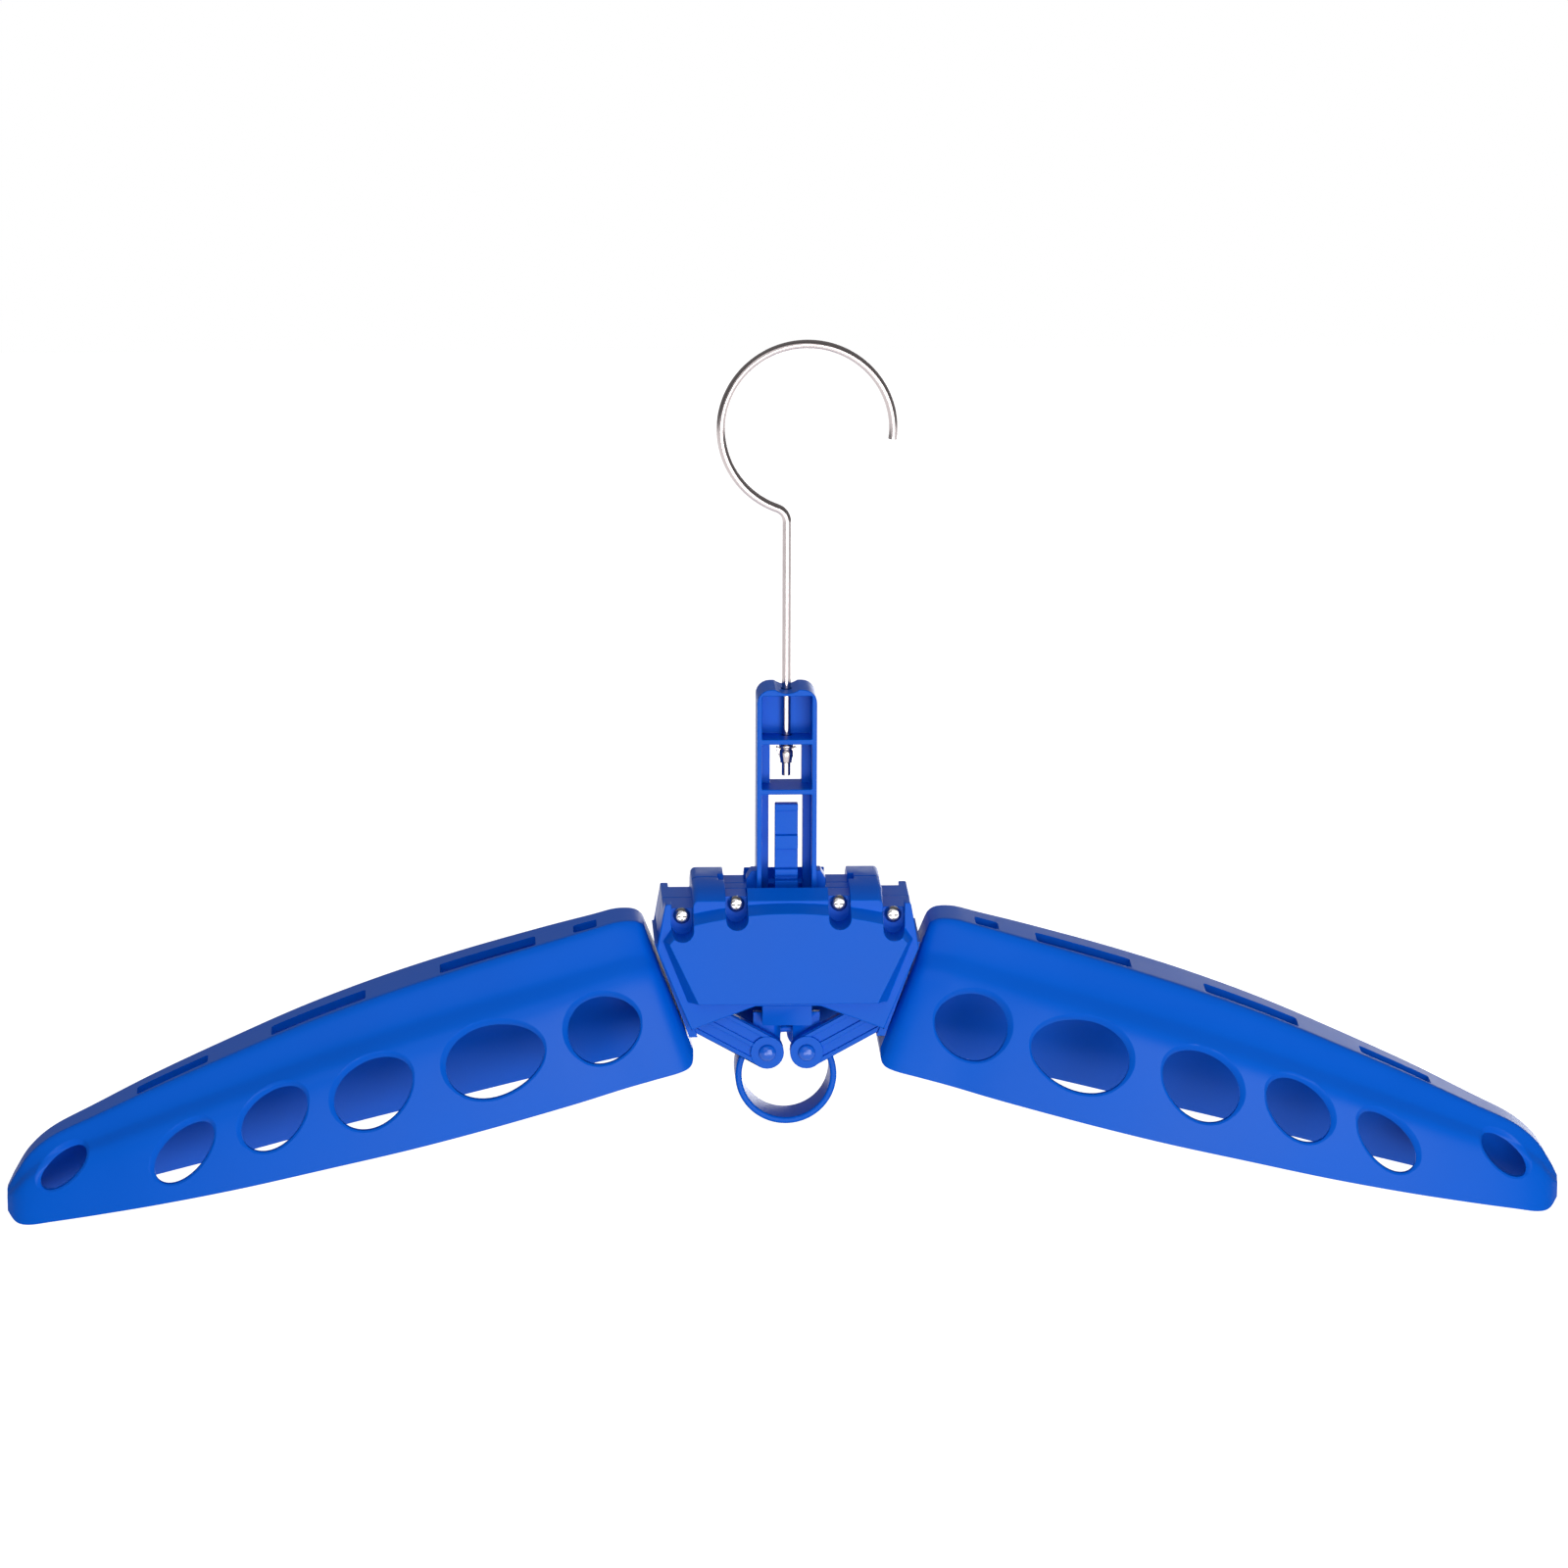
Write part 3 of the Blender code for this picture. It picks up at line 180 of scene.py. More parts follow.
# Their rims roll outwards by the most on the side that faces RIM_FACING
RIM_MOST = 2.3 * MM
RIM_LEAST = 0.6 * MM
RIM_FACING = math.radians(118)
RIM_SPREAD = 1.25       # how slowly the roll fades round the hole
RIM_DEEP = 0.75         # how deep the roll is for its width
RIM_CURVE = 1.25        # the power of the roll's profile
RIM_STEPS = 7
RIM_PROUD = 0.02 * MM   # how far the roll's last step is outside the skin
DEPTH_HALVINGS = 24     # steps in which the place of a hole's point is found

# Slots in the top: x, length, near y and far y in mm
ARM_SLOTS = ((-61.3, 7.4, -7.6, 1.2), (-91.0, 30.5, -9.0, 1.5), (-142.7, 31.0, -8.9, 1.4),
             (-187.3, 24.0, -7.1, 1.1))
SLOT_CORNER = 1.2 * MM
SLOT_HALVINGS = 30      # steps in which a slot's place is found
SLOPE_STEP = 0.01       # the stretch of the arm that gives a slot its slope
# Turns an outline in X and Z, thick along Y, into one in X and Y, thick along Z
LAY_DOWN = Matrix(((1, 0, 0, 0), (0, 0, 1, 0), (0, 1, 0, 0), (0, 0, 0, 1)))


def new_object(name, data):
    """An object of this mesh, curve, lamp or camera in the scene."""
    made = bpy.data.objects.new(name, data)
    bpy.context.scene.collection.objects.link(made)
    return made


# Camera, floor and light

def make_camera():
    """A long lens in front of the hanger, a little to the left and above."""
    data = bpy.data.cameras.new("view")
    data.sensor_width = SENSOR_WIDTH
    data.lens = SENSOR_WIDTH * VIEW_DISTANCE / (IMAGE_SIDE * METRES_PER_PIXEL)
    camera = new_object("view", data)
    back = Vector((-math.sin(AZIMUTH) * math.cos(ELEVATION),
                   -math.cos(AZIMUTH) * math.cos(ELEVATION), math.sin(ELEVATION)))
    turn = back.to_track_quat("Z", "Y").to_matrix().to_4x4()
    camera.matrix_world = (Matrix.Translation(AIM + back * VIEW_DISTANCE) @ turn
                           @ Matrix.Rotation(-ROLL, 4, "Z"))
    bpy.context.scene.camera = camera


def add_node(tree, kind, values=()):
    """A new shader node with these (socket, value) pairs set."""
    made = tree.nodes.new(kind)
    for socket, value in values:
        made.inputs[socket].default_value = value
    return made


def either(tree, one, other):
    """An output that is 1 where one of two outputs is."""
    larger = tree.nodes.new("ShaderNodeMath")
    larger.operation = "MAXIMUM"
    tree.links.new(one, larger.inputs[0])
    tree.links.new(other, larger.inputs[1])
    return larger.outputs[0]


def mixed(tree, share, one, other):
    """Two shaders, mixed by a share of the other one."""
    mix = tree.nodes.new("ShaderNodeMixShader")
    for i, output in enumerate((share, one, other)):
        tree.links.new(output, mix.inputs[i])
    return mix.outputs[0]


def new_material(name):
    """A new material and its node tree."""
    paint = bpy.data.materials.new(name)
    paint.use_nodes = True
    return paint, paint.node_tree


def make_stage():
    """A pale floor, far enough down to leave the hanger hanging free."""
    mesh = bpy.data.meshes.new("floor")
    corners = [(x * FLOOR_REACH, y * FLOOR_REACH, FLOOR_LEVEL)
               for x, y in ((-1, -1), (1, -1), (1, 1), (-1, 1))]
    mesh.from_pydata(corners, [], [(0, 1, 2, 3)])
    floor = new_object("floor", mesh)
    paint, tree = new_material("floor")
    tree.nodes.clear()
    path = add_node(tree, "ShaderNodeLightPath")
    diffuse = add_node(tree, "ShaderNodeBsdfDiffuse", [("Color", FLOOR_COLOUR)])
    glow = add_node(tree, "ShaderNodeEmission", [("Color", WHITE), ("Strength", FLOOR_GLOW)])
    both = add_node(tree, "ShaderNodeAddShader")
    tree.links.new(diffuse.outputs[0], both.inputs[0])
    tree.links.new(glow.outputs[0], both.inputs[1])
    dark = add_node(tree, "ShaderNodeBsdfDiffuse", [("Color", FLOOR_DARK)])
    seen = either(tree, path.outputs["Is Camera Ray"], path.outputs["Is Glossy Ray"])
    seen = either(tree, seen, path.outputs["Is Transmission Ray"])
    out = add_node(tree, "ShaderNodeOutputMaterial")
    tree.links.new(mixed(tree, seen, dark.outputs[0], both.outputs[0]), out.inputs[0])
    mesh.materials.append(paint)


def make_world():
    """A plain pale world: white to the camera, brighter behind the hanger in glossy surfaces."""
    world = bpy.data.worlds.new("studio")
    bpy.context.scene.world = world
    world.use_nodes = True
    tree = world.node_tree
    tree.nodes.clear()
    path = add_node(tree, "ShaderNodeLightPath")
    place = add_node(tree, "ShaderNodeTexCoord")
    split = add_node(tree, "ShaderNodeSeparateXYZ")
    tree.links.new(place.outputs["Generated"], split.inputs[0])
    skies = []
    for axis, start, end, low, high in (WORLD_LIGHT, WORLD_GLOSS):
        sky = add_node(tree, "ShaderNodeBackground", [("Color", WHITE)])
        shade = add_node(tree, "ShaderNodeMapRange", [("From Min", start), ("From Max", end),
                                                      ("To Min", low), ("To Max", high)])
        tree.links.new(split.outputs[axis], shade.inputs["Value"])
        tree.links.new(shade.outputs[0], sky.inputs["Strength"])
        skies.append(sky.outputs[0])
    white = add_node(tree, "ShaderNodeBackground", [("Color", WHITE), ("Strength", 1)])
    mirrored = either(tree, path.outputs["Is Glossy Ray"], path.outputs["Is Transmission Ray"])
    unseen = mixed(tree, mirrored, *skies)
    out = add_node(tree, "ShaderNodeOutputWorld")
    tree.links.new(mixed(tree, path.outputs["Is Camera Ray"], unseen, white.outputs[0]),
                   out.inputs[0])


def area_light(name, place, aim, size, power):
    """A square soft light that faces a point."""
    data = bpy.data.lights.new(name, "AREA")
    data.shape = "SQUARE"
    data.size = size
    data.energy = power
    lamp = new_object(name, data)
    lamp.location = place
    lamp.rotation_euler = (Vector(place) - Vector(aim)).to_track_quat("Z", "Y").to_euler()


# Materials

def noise(tree, scale, detail):
    """The output of a noise that stays with the object."""
    place = add_node(tree, "ShaderNodeTexCoord")
    made = add_node(tree, "ShaderNodeTexNoise", [("Scale", scale), ("Detail", detail)])
    tree.links.new(place.outputs["Object"], made.inputs["Vector"])
    return made.outputs[0]


def roughen(tree, wear, roughness, grain, strength, depth):
    """Let one noise vary the surface's roughness and another one raise its grain."""
    low, high = roughness
    spread = add_node(tree, "ShaderNodeMapRange", [("To Min", low), ("To Max", high)])
    bump = add_node(tree, "ShaderNodeBump", [("Strength", strength), ("Distance", depth)])
    shader = tree.nodes["Principled BSDF"]
    tree.links.new(wear, spread.inputs["Value"])
    tree.links.new(spread.outputs[0], shader.inputs["Roughness"])
    tree.links.new(grain, bump.inputs["Height"])
    tree.links.new(bump.outputs[0], shader.inputs["Normal"])


def plastic(name, colour, roughness, specular):
    """Moulded plastic: a faint slow drift of colour and gloss, and a fine satin grain."""
    paint, tree = new_material(name)
    shader = tree.nodes["Principled BSDF"]
    shader.inputs["Specular IOR Level"].default_value = specular
    drift = noise(tree, scale=28, detail=3)
    ramp = add_node(tree, "ShaderNodeValToRGB")
    darker, full = ramp.color_ramp.elements
    darker.position, full.position = DRIFT_START, DRIFT_END
    darker.color = (*(channel * share for channel, share in zip(colour, DRIFT_SHADE)), 1)
    full.color = (*colour, 1)
    tree.links.new(drift, ramp.inputs[0])
    tree.links.new(ramp.outputs[0], shader.inputs["Base Color"])
    grain = noise(tree, scale=1800, detail=2)
    roughen(tree, drift, (roughness - 0.05, roughness + 0.06), grain,
            strength=0.06, depth=0.2 * MM)
    return paint


def metal(name, colour, roughness):
    """Polished steel with fine marks that vary its gloss and its surface."""
    paint, tree = new_material(name)
    shader = tree.nodes["Principled BSDF"]
    shader.inputs["Metallic"].default_value = 1.0
    shader.inputs["Base Color"].default_value = (*colour, 1)
    marks = noise(tree, scale=260, detail=4)
    roughen(tree, marks, (roughness - 0.06, roughness + 0.1), marks,
            strength=0.05, depth=0.1 * MM)
    return paint


# Material and slot of each node, by how its name starts
FINISHES = (
    ("hook", metal("hook_steel", (0.56, 0.50, 0.50), roughness=0.2), "hook_steel"),
    ("screw", metal("screw_steel", (0.50, 0.49, 0.50), roughness=0.2), "screw_steel"),
    ("pivot_pin", plastic("pin_plastic", BLUE, roughness=0.2, specular=0.5), "blue_plastic"),
    ("", plastic("blue_plastic", BLUE, roughness=0.33, specular=0.11), "blue_plastic"),
)


def finish_of(node):
    """The material and the slot of a node."""
    return next((paint, slot) for start, paint, slot in FINISHES if node.startswith(start))


# Tools for shapes

def from_bmesh(name, shape):
    """An object made from a bmesh, with its faces pointing out."""
    bmesh.ops.recalc_face_normals(shape, faces=shape.faces)
    mesh = bpy.data.meshes.new(name)
    shape.to_mesh(mesh)
    shape.free()
    return new_object(name, mesh)


def bake(item):
    """A plain welded mesh object from an object with modifiers or from a curve."""
    bpy.context.view_layer.update()
    graph = bpy.context.evaluated_depsgraph_get()
    mesh = bpy.data.meshes.new_from_object(item.evaluated_get(graph))
    name = item.name
    bpy.data.objects.remove(item)
    shape = bmesh.new()
    shape.from_mesh(mesh)
    bmesh.ops.remove_doubles(shape, verts=shape.verts, dist=WELD)
    shape.to_mesh(mesh)
    shape.free()
    return new_object(name, mesh)


def combine(target, tools, operation):
    """Cut mesh objects out of one, or join them to it."""
    group = bpy.data.collections.new("tools")
    for tool in tools:
        group.objects.link(tool)
    step = target.modifiers.new(operation.title(), "BOOLEAN")
    step.operation = operation
    step.solver = "EXACT"
    step.operand_type = "COLLECTION"
    step.collection = group
    made = bake(target)
    for tool in tools:
        bpy.data.objects.remove(tool)
    bpy.data.collections.remove(group)
    return made


def shaded(item, sharp_deg, weight=None):
    """An object shaded smooth between its sharp edges; a weight keeps its large faces flat."""
    item.data.shade_smooth()
    item.data.set_sharp_from_angle(angle=math.radians(sharp_deg))
    if weight:
        weigh = item.modifiers.new("Weigh", "WEIGHTED_NORMAL")
        weigh.weight = weight
        weigh.keep_sharp = True
    return item


def bridge(shape, rings):
    """Faces between each ring of points and the next; a ring may be one point, repeated."""
    for one, other in zip(rings, rings[1:]):
        for i in range(len(one)):
            j = (i + 1) % len(one)
            corners = list(dict.fromkeys((one[i], one[j], other[j], other[i])))
            if len(corners) > 2:
                shape.faces.new(corners)


def cap(shape, rings):
    """A face over the first ring and one over the last."""
    shape.faces.new(rings[0])
    shape.faces.new(list(reversed(rings[-1])))


def along(start, run):
    """The matrix that lays an upright shape at a point, along a direction."""
    turn = Vector((0, 0, 1)).rotation_difference(run)
    return Matrix.Translation(start) @ turn.to_matrix().to_4x4()


def box(x_range, y_range, z_range):
    """A block between two values on each axis."""
    shape = bmesh.new()
    bmesh.ops.create_cube(shape, size=1.0)
    low, high = (Vector(corner) for corner in zip(x_range, y_range, z_range))
    bmesh.ops.scale(shape, vec=high - low, verts=shape.verts)
    bmesh.ops.translate(shape, vec=(low + high) / 2, verts=shape.verts)
    return from_bmesh("block", shape)


def rod(start, end, radius, sides=48):
    """A solid cylinder between two points."""
    start = Vector(start)
    run = Vector(end) - start
    shape = bmesh.new()
    bmesh.ops.create_cone(shape, cap_ends=True, segments=sides, radius1=radius, radius2=radius,
                          depth=run.length)
    bmesh.ops.transform(shape, matrix=along(start + run / 2, run), verts=shape.verts)
    return from_bmesh("rod", shape)


def slab(outline, near, far):
    """A flat outline in X and Z, filled, from near to far along Y."""
    shape = bmesh.new()
    rings = [[shape.verts.new((x, y, z)) for x, z in outline] for y in (near, far)]
    cap(shape, rings)
    bridge(shape, rings)
    return from_bmesh("slab", shape)


def turned(profile, start, direction, sides=64):
    """A profile of (radius, height) turned about a line; one that starts off it is closed."""
    shape = bmesh.new()
    rings = []
    for radius, height in profile:
        if radius == 0:
            rings.append([shape.verts.new((0, 0, height))] * sides)
            continue
        rings.append([shape.verts.new((radius * math.cos(math.tau * i / sides),
                                       radius * math.sin(math.tau * i / sides), height))
                      for i in range(sides)])
    bridge(shape, rings + rings[:1] if profile[0][0] else rings)
    bmesh.ops.transform(shape, matrix=along(Vector(start), Vector(direction)), verts=shape.verts)
    return from_bmesh("turned", shape)


def arc(centre, radius, start_deg, end_deg, steps):
    """Points along an arc in X and Z."""
    points = []
    for i in range(steps + 1):
        angle = math.radians(start_deg + (end_deg - start_deg) * i / steps)
        points.append((centre[0] + radius * math.cos(angle), centre[1] + radius * math.sin(angle)))
    return points


def rounded(outline, radius, steps=6):
    """An outline with each corner rounded."""
    points = []
    for i, corner in enumerate(outline):
        here = Vector(corner)
        before = Vector(outline[i - 1]) - here
        after = Vector(outline[(i + 1) % len(outline)]) - here
        half = before.angle(after) / 2
        reach = min(radius / math.tan(half), before.length * SIDE_SHARE,
                    after.length * SIDE_SHARE)
        size = reach * math.tan(half)
        first = here + before.normalized() * reach
        last = here + after.normalized() * reach
        middle = (before.normalized() + after.normalized()).normalized()
        centre = here + middle * (size / math.sin(half))
        one = first - centre
        turn = one.angle_signed(last - centre)
        for k in range(steps + 1):
            angle = -turn * k / steps
            points.append((centre[0] + one[0] * math.cos(angle) - one[1] * math.sin(angle),
                           centre[1] + one[0] * math.sin(angle) + one[1] * math.cos(angle)))
    return points


def soften(item, width, spared=()):
    """Round an object's sharp edges, but for the spared ones, and keep its flat faces flat."""
    shape = bmesh.new()
    shape.from_mesh(item.data)
    weights = shape.edges.layers.float.new("bevel_weight_edge")
    for edge in shape.edges:
        kept = spared and all(low < value < high for vert in edge.verts
                              for value, (low, high) in zip((vert.co[0], vert.co[2]), spared))
        if edge.is_manifold and edge.calc_face_angle(0) > SOFTEN_OVER and not kept:
            edge[weights] = 1.0
    shape.to_mesh(item.data)
    shape.free()
    step = item.modifiers.new("Soften", "BEVEL")
    step.width = width
    step.segments = 2
    step.limit_method = "WEIGHT"
    step.use_clamp_overlap = False
    step.miter_outer = "MITER_ARC"
    return shaded(bake(item), SOFT_SHARP, SOFT_WEIGHT)


def on_crest(edge, level):
    """Whether an edge is a corner that runs front to back along the top of the housing."""
    one, other = (vert.co for vert in edge.verts)
    if max(one[2], other[2]) < level or abs(one[0]) < CREST_NEAR or edge.is_boundary:
        return False
    run = other - one
    return (abs(run[1]) > CREST_ALONG * run.length and edge.is_convex
            and edge.calc_face_angle(0) > CREST_TURN)


def refined(node, width):
    """A copy of a node's solid with its edges rounded."""
    item = new_object(node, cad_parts[node].data.copy())
    shape = bmesh.new()
    shape.from_mesh(item.data)
    bmesh.ops.remove_doubles(shape, verts=shape.verts, dist=WELD)
    bmesh.ops.dissolve_limit(shape, angle_limit=FLAT_WITHIN, verts=shape.verts,
                             edges=shape.edges, use_dissolve_boundaries=False)
    if node in HOUSING:
        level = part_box("stem")[1][2] - CREST_DROP
        crests = [edge for edge in shape.edges if on_crest(edge, level)]
        bmesh.ops.bevel(shape, geom=crests, offset=CREST_ROUND, offset_type="OFFSET", segments=5,
                        profile=0.5, affect="EDGES", clamp_overlap=True)
        bmesh.ops.connect_verts_nonplanar(shape, angle_limit=PLANE_WITHIN, faces=shape.faces)
    shape.to_mesh(item.data)
    shape.free()
    return soften(item, width, TOE if node in HOUSING else ())


# Hook, ferrule, screws, pins and ring

def make_hook():
    """The hook's wire as one even round tube."""
    low, high = (Vector(corner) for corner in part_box("hook_wire"))
    radius = (high[1] - low[1]) / 2
    bend = HOOK_RADIUS - radius
    centre = (HOOK_OFFSET, -math.sqrt(bend ** 2 - HOOK_OFFSET ** 2))
    leave = math.radians(HOOK_LEAVE_DEG)
    small = -(HOOK_OFFSET + HOOK_RADIUS * math.cos(leave)) / (1 + math.cos(leave))
    shank_top = centre[1] + (HOOK_RADIUS + small) * math.sin(leave)
    route = arc(centre, HOOK_RADIUS, HOOK_END_DEG, HOOK_LEAVE_DEG, HOOK_STEPS)
    route += arc((-small, shank_top), small, HOOK_LEAVE_DEG - 180, 0, SMALL_BEND_STEPS)[1:]
    route.append((0, low[2]))
    curve = bpy.data.curves.new("wire", "CURVE")
    curve.dimensions = "3D"
    curve.bevel_depth = radius
    curve.bevel_resolution = 7
    curve.use_fill_caps = True
    line = curve.splines.new("POLY")
    line.points.add(len(route) - 1)
    for point, (x, z) in zip(line.points, route):
        point.co = (x, 0, z, 1)
    return shaded(bake(new_object("wire", curve)), ROUND_SHARP)


def make_ferrule():
    """The crimped ferrule: a collar, a pinched body with two wings, and a narrow foot."""
    low, (reach, radius, top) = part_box("hook_ferrule")
    tall = top - low[2]
    profile = [(radius * out, top - tall * down) for out, down in FERRULE_BODY]
    body = turned(profile + [(0, low[2]), (0, top)], (0, 0, 0), (0, 0, 1), sides=40)
    half = radius * WING_HALF
    wings = []
    for side in (-1, 1):
        outline = [(side * reach * out, top - tall * down) for out, down in FERRULE_WING]
        wings.append(slab(rounded(outline, WING_CORNER, steps=3), -half, half))
    body = combine(body, wings, "UNION")
    bore = rod((0, 0, top + OVER), (0, 0, low[2] - OVER),
               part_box("hook_wire")[1][1] + FERRULE_PLAY)
    return soften(combine(body, [bore], "DIFFERENCE"), FERRULE_SOFT)


def round_box(node):
    """The box of a round node that lies along Y: its corners, and its middle x, z and radius."""
    low, high = (Vector(corner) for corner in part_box(node))
    return low, high, (low[0] + high[0]) / 2, (low[2] + high[2]) / 2, (high[0] - low[0]) / 2


def make_screw(node):
    """A pan-head screw with a rolled edge and a cross recess, and its shank."""
    low, high, x, z, radius = round_box(node)
    rise = HEAD_HEIGHT
    seat = low[1] + rise
    shank, tip = radius * SHANK_SHARE, seat - high[1]
    profile = [(radius * out, rise * up) for out, up in HEAD_PROFILE]
    screw = turned(profile + [(shank, 0), (shank, tip), (0, tip)], (x, seat, z), (0, -1, 0))
    wide, thin = radius * CROSS_WIDE, radius * CROSS_THIN
    cross = [box((x - a, x + a), (low[1] - OVER, low[1] + rise * CROSS_DEEP), (z - b, z + b))
             for a, b in ((wide, thin), (thin * CROSS_UNEVEN, wide))]
    mouth, floor = radius * PIT_MOUTH, radius * PIT_FLOOR
    pit = turned([(0, rise + OVER), (mouth, rise + OVER), (floor, rise * PIT_LEVEL),
                  (0, rise * PIT_LEVEL)], (x, seat, z), (0, -1, 0), sides=24)
    return shaded(combine(screw, cross + [pit], "DIFFERENCE"), ROUND_SHARP)


def make_pin(node):
    """A pivot pin with a low dome."""
    low, high, x, z, radius = round_box(node)
    near, far = sorted((abs(low[1]), abs(high[1])))
    turns = [math.radians(angle) for angle in range(0, 91, DOME_STEP_DEG)]
    profile = [(radius * math.sin(turn), far - PIN_DOME * (1 - math.cos(turn))) for turn in turns]
    shank = radius * PIN_SHANK
    profile += [(shank, far - PIN_DOME), (shank, near), (0, near)]
    side = -1 if low[1] < 0 else 1
    return shaded(turned(profile, (x, 0, z), (0, side, 0), sides=48), TURNED_SHARP)


def make_ring():
    """The finger ring, with rolled rims."""
    low, high, _, z, radius = round_box("finger_ring")
    half = (high[1] - low[1]) / 2
    inner = radius - RING_THICKNESS
    corners = ((inner, half), (radius, half), (radius, -half), (inner, -half))
    profile = rounded(corners, RING_ROLL, steps=5)
    return shaded(turned(profile, (0, 0, z), (0, 1, 0), sides=144), TURNED_SHARP)


# Arms

def smooth_row(rows, place):
    """A row between given rows, on a Catmull-Rom curve; place runs from 0 to 1."""
    span = place * (len(rows) - 1)
    i = min(int(span), len(rows) - 2)
    t = span - i
    near = (rows[max(i - 1, 0)], rows[i], rows[i + 1], rows[min(i + 2, len(rows) - 1)])
    return [b + t * (c - a) / 2 + t * t * (a - 2.5 * b + 2 * c - d / 2)
            + t * t * t * (1.5 * (b - c) + (d - a) / 2) for a, b, c, d in zip(*near)]


def arm_row(place):
    """The arm's top x, top z, bottom x, bottom z and half depth at a place along it."""
    return [value * MM for value in smooth_row(ARM_ROWS, place)]


def arm_point(place, out, up, wall=0):
    """A point of the arm's skin: out is a share of the half depth, up a share of the height."""
    top_x, top_z, foot_x, foot_z, depth = arm_row(place)
    height = math.hypot(top_x - foot_x, top_z - foot_z)
    up = min(up, 1 - wall / height)
    if wall and up <= 0:
        up = -OVER / height
    reach = out * depth - math.copysign(wall, out) * (out != 0)
    return Vector((foot_x + (top_x - foot_x) * up, reach, foot_z + (top_z - foot_z) * up))


def arm_solid(wall, stations, steps, first, last):
    """The left arm between two places, or with a wall, what is inside it there."""
    half = [smooth_row(ARM_SECTION, i / steps) for i in range(steps + 1)]
    around = [(-out, up) for out, up in half] + [(out, up) for out, up in reversed(half[:-1])]
    shape = bmesh.new()
    rings = []
    for i in range(stations):
        place = first + (last - first) * i / (stations - 1)
        rings.append([shape.verts.new(arm_point(place, out, up, wall)) for out, up in around])
    bridge(shape, rings)
    cap(shape, rings)
    return from_bmesh("arm", shape)


def place_where(beyond, steps):
    """The place along the arm where a test turns true, found by halving."""
    low, high = 0.0, 1.0
    for _ in range(steps):
        place = (low + high) / 2
        if beyond(arm_row(place)):
            high = place
        else:
            low = place
    return place


def front_depth(x, z):
    """How far in front of the middle the arm's skin is at a point of the front view."""
    def beyond(row):
        """Whether a station is further out than the point."""
        top_x, top_z, foot_x, foot_z, _ = row
        return (top_x - foot_x) * (z - foot_z) - (top_z - foot_z) * (x - foot_x) < 0

    top_x, top_z, foot_x, foot_z, depth = arm_row(place_where(beyond, DEPTH_HALVINGS))
    height_squared = (top_x - foot_x) ** 2 + (top_z - foot_z) ** 2
    up = ((x - foot_x) * (top_x - foot_x) + (z - foot_z) * (top_z - foot_z)) / height_squared
    for (out_a, up_a), (out_b, up_b) in zip(ARM_SECTION, ARM_SECTION[1:]):
        if up_a <= up <= up_b and up_b > up_a:
            return depth * (out_a + (out_b - out_a) * (up - up_a) / (up_b - up_a))
    raise ValueError("a hole reaches past the arm's face")


def hole_cutter(x, z, length, width, tilt):
    """A cutter for a hole whose rim rolls outwards, most of all at its upper outer side."""
    turn = math.radians(tilt)
    across, rise = math.cos(turn), math.sin(turn)
    shape = bmesh.new()
    rings = []
    # From the arm's middle, by the steps of the rim's roll, to outside the skin
    for k in range(-1, RIM_STEPS + 2):
        share = min(max(k, 0), RIM_STEPS) / RIM_STEPS
        ring = []
        for i in range(HOLE_SIDES):
            angle = math.tau * i / HOLE_SIDES
            u = length * math.cos(angle)
            v = width * math.sin(angle) * (1 - LEAF * math.cos(angle))
            normal = Vector((math.cos(angle) / length, math.sin(angle) / width)).normalized()
            facing = math.atan2(normal[0] * rise + normal[1] * across,
                                normal[0] * across - normal[1] * rise)
            away = (facing - RIM_FACING + math.pi) % math.tau - math.pi
            rim = RIM_LEAST + (RIM_MOST - RIM_LEAST) * max(0.0, math.cos(away / RIM_SPREAD))
            u += normal[0] * (rim * share)
            v += normal[1] * (rim * share)
            px = x + u * across - v * rise
            pz = z + u * rise + v * across
            skin = front_depth(px, pz)
            if k == -1:
                y = 0
            elif k == RIM_STEPS + 1:
                y = -skin - OVER
            else:
                y = -skin + RIM_DEEP * rim * (1 - share) ** RIM_CURVE
                if k == RIM_STEPS:
                    y -= RIM_PROUD
            ring.append(shape.verts.new((px, y, pz)))
        rings.append(ring)
    bridge(shape, rings)
    cap(shape, rings)
    return from_bmesh("hole", shape)


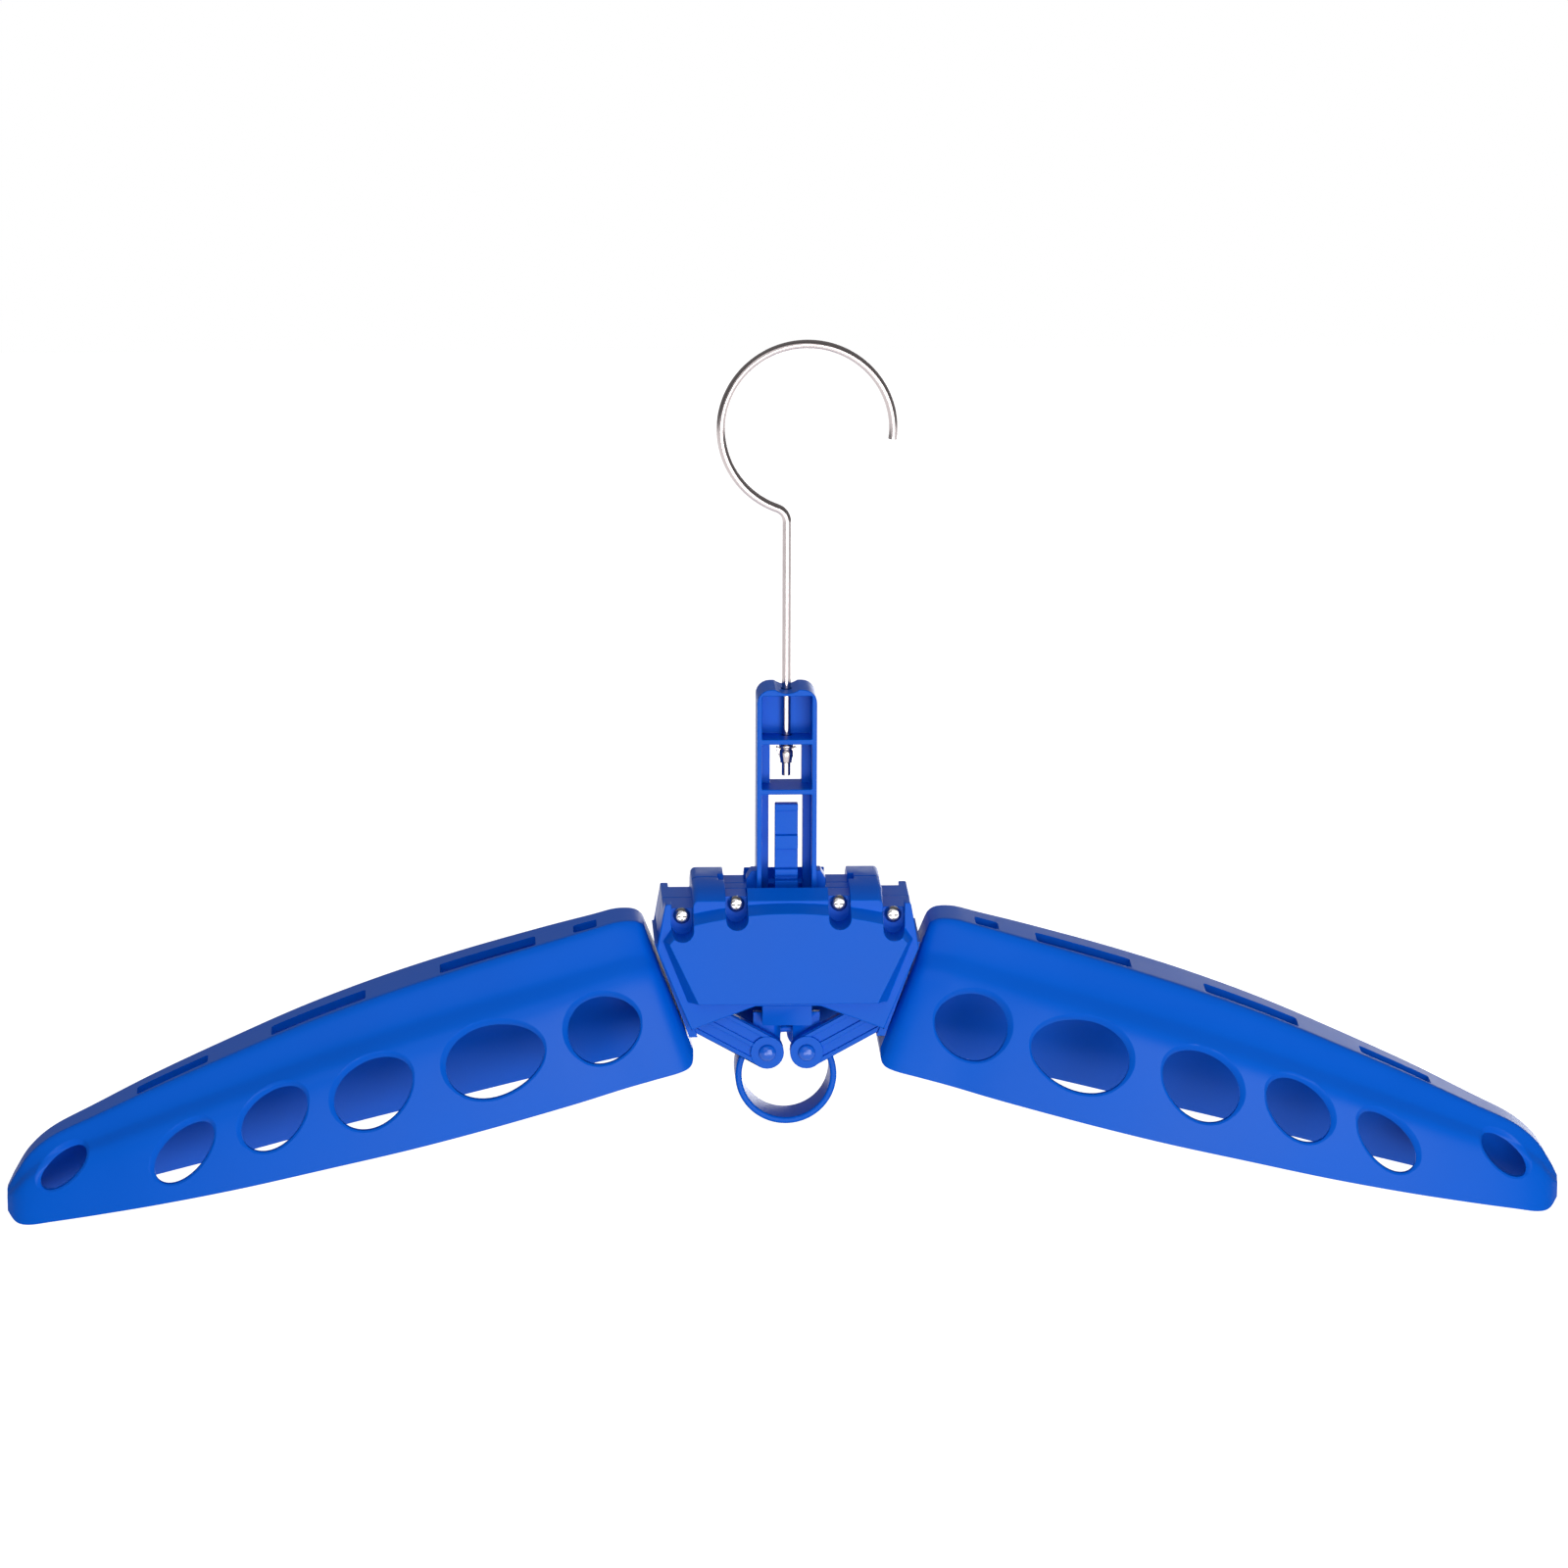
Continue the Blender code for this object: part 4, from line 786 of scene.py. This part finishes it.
def slot_cutter(x, length, near, far):
    """A cutter for a slot in the arm's top, square to the top line there."""
    place = place_where(lambda row: row[0] <= x, SLOT_HALVINGS)
    here, there = arm_point(place, 0, 1), arm_point(place + SLOPE_STEP, 0, 1)
    slope = math.atan2(there[2] - here[2], here[0] - there[0])
    half = length / 2
    outline = rounded([(-half, near), (half, near), (half, far), (-half, far)], SLOT_CORNER)
    slot = slab(outline, -ARM_WALL - OVER, OVER)
    slot.data.transform(Matrix.Translation((here[0], 0, here[2]))
                        @ Matrix.Rotation(slope, 4, "Y") @ LAY_DOWN)
    slot.data.flip_normals()
    return slot


def make_arm():
    """The left arm with rolled holes and rounded slots."""
    cutters = [arm_solid(ARM_WALL, *HOLLOW)]
    for *sizes, tilt in ARM_HOLES:
        cutters.append(hole_cutter(*(size * MM for size in sizes), tilt))
    for sizes in ARM_SLOTS:
        cutters.append(slot_cutter(*(size * MM for size in sizes)))
    arm = combine(arm_solid(0, *SKIN), cutters, "DIFFERENCE")
    return shaded(arm, ARM_SHARP, ARM_WEIGHT)


def reflected(item):
    """A copy of an arm, reflected left to right."""
    made = new_object("right", item.data.copy())
    made.data.transform(Matrix.Scale(-1, 4, Vector((1, 0, 0))))
    made.data.flip_normals()
    return shaded(made, ARM_SHARP, ARM_WEIGHT)


def settle(item, node, body):
    """Name a finished piece after its node, dress it and let it ride on its body."""
    paint, slot = finish_of(node)
    item.name = node + "_looks"
    item.data.materials.clear()
    item.data.materials.append(paint)
    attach(item, body)
    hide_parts(node)


make_camera()
make_stage()
make_world()
for lamp in LAMPS:
    area_light(*lamp)

for name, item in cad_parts.items():
    item.data.materials.clear()
    item.data.materials.append(finish_of(name)[0])

left_arm = make_arm()
settle(left_arm, "left_arm", "left_side")
settle(reflected(left_arm), "right_arm", "right_side")
for node, body, width in REFINED:
    settle(refined(node, width * MM), node, body)
settle(make_hook(), "hook_wire", "hook")
settle(refined("hook_washer", WASHER_SOFT), "hook_washer", "hook")
settle(make_ferrule(), "hook_ferrule", "hook")
settle(make_ring(), "finger_ring", "slide")
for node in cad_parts:
    if node.startswith("screw"):
        settle(make_screw(node), node, "frame")
    elif node.startswith("pivot_pin"):
        settle(make_pin(node), node, "frame")

view = bpy.context.scene.view_settings
view.view_transform = "Standard"
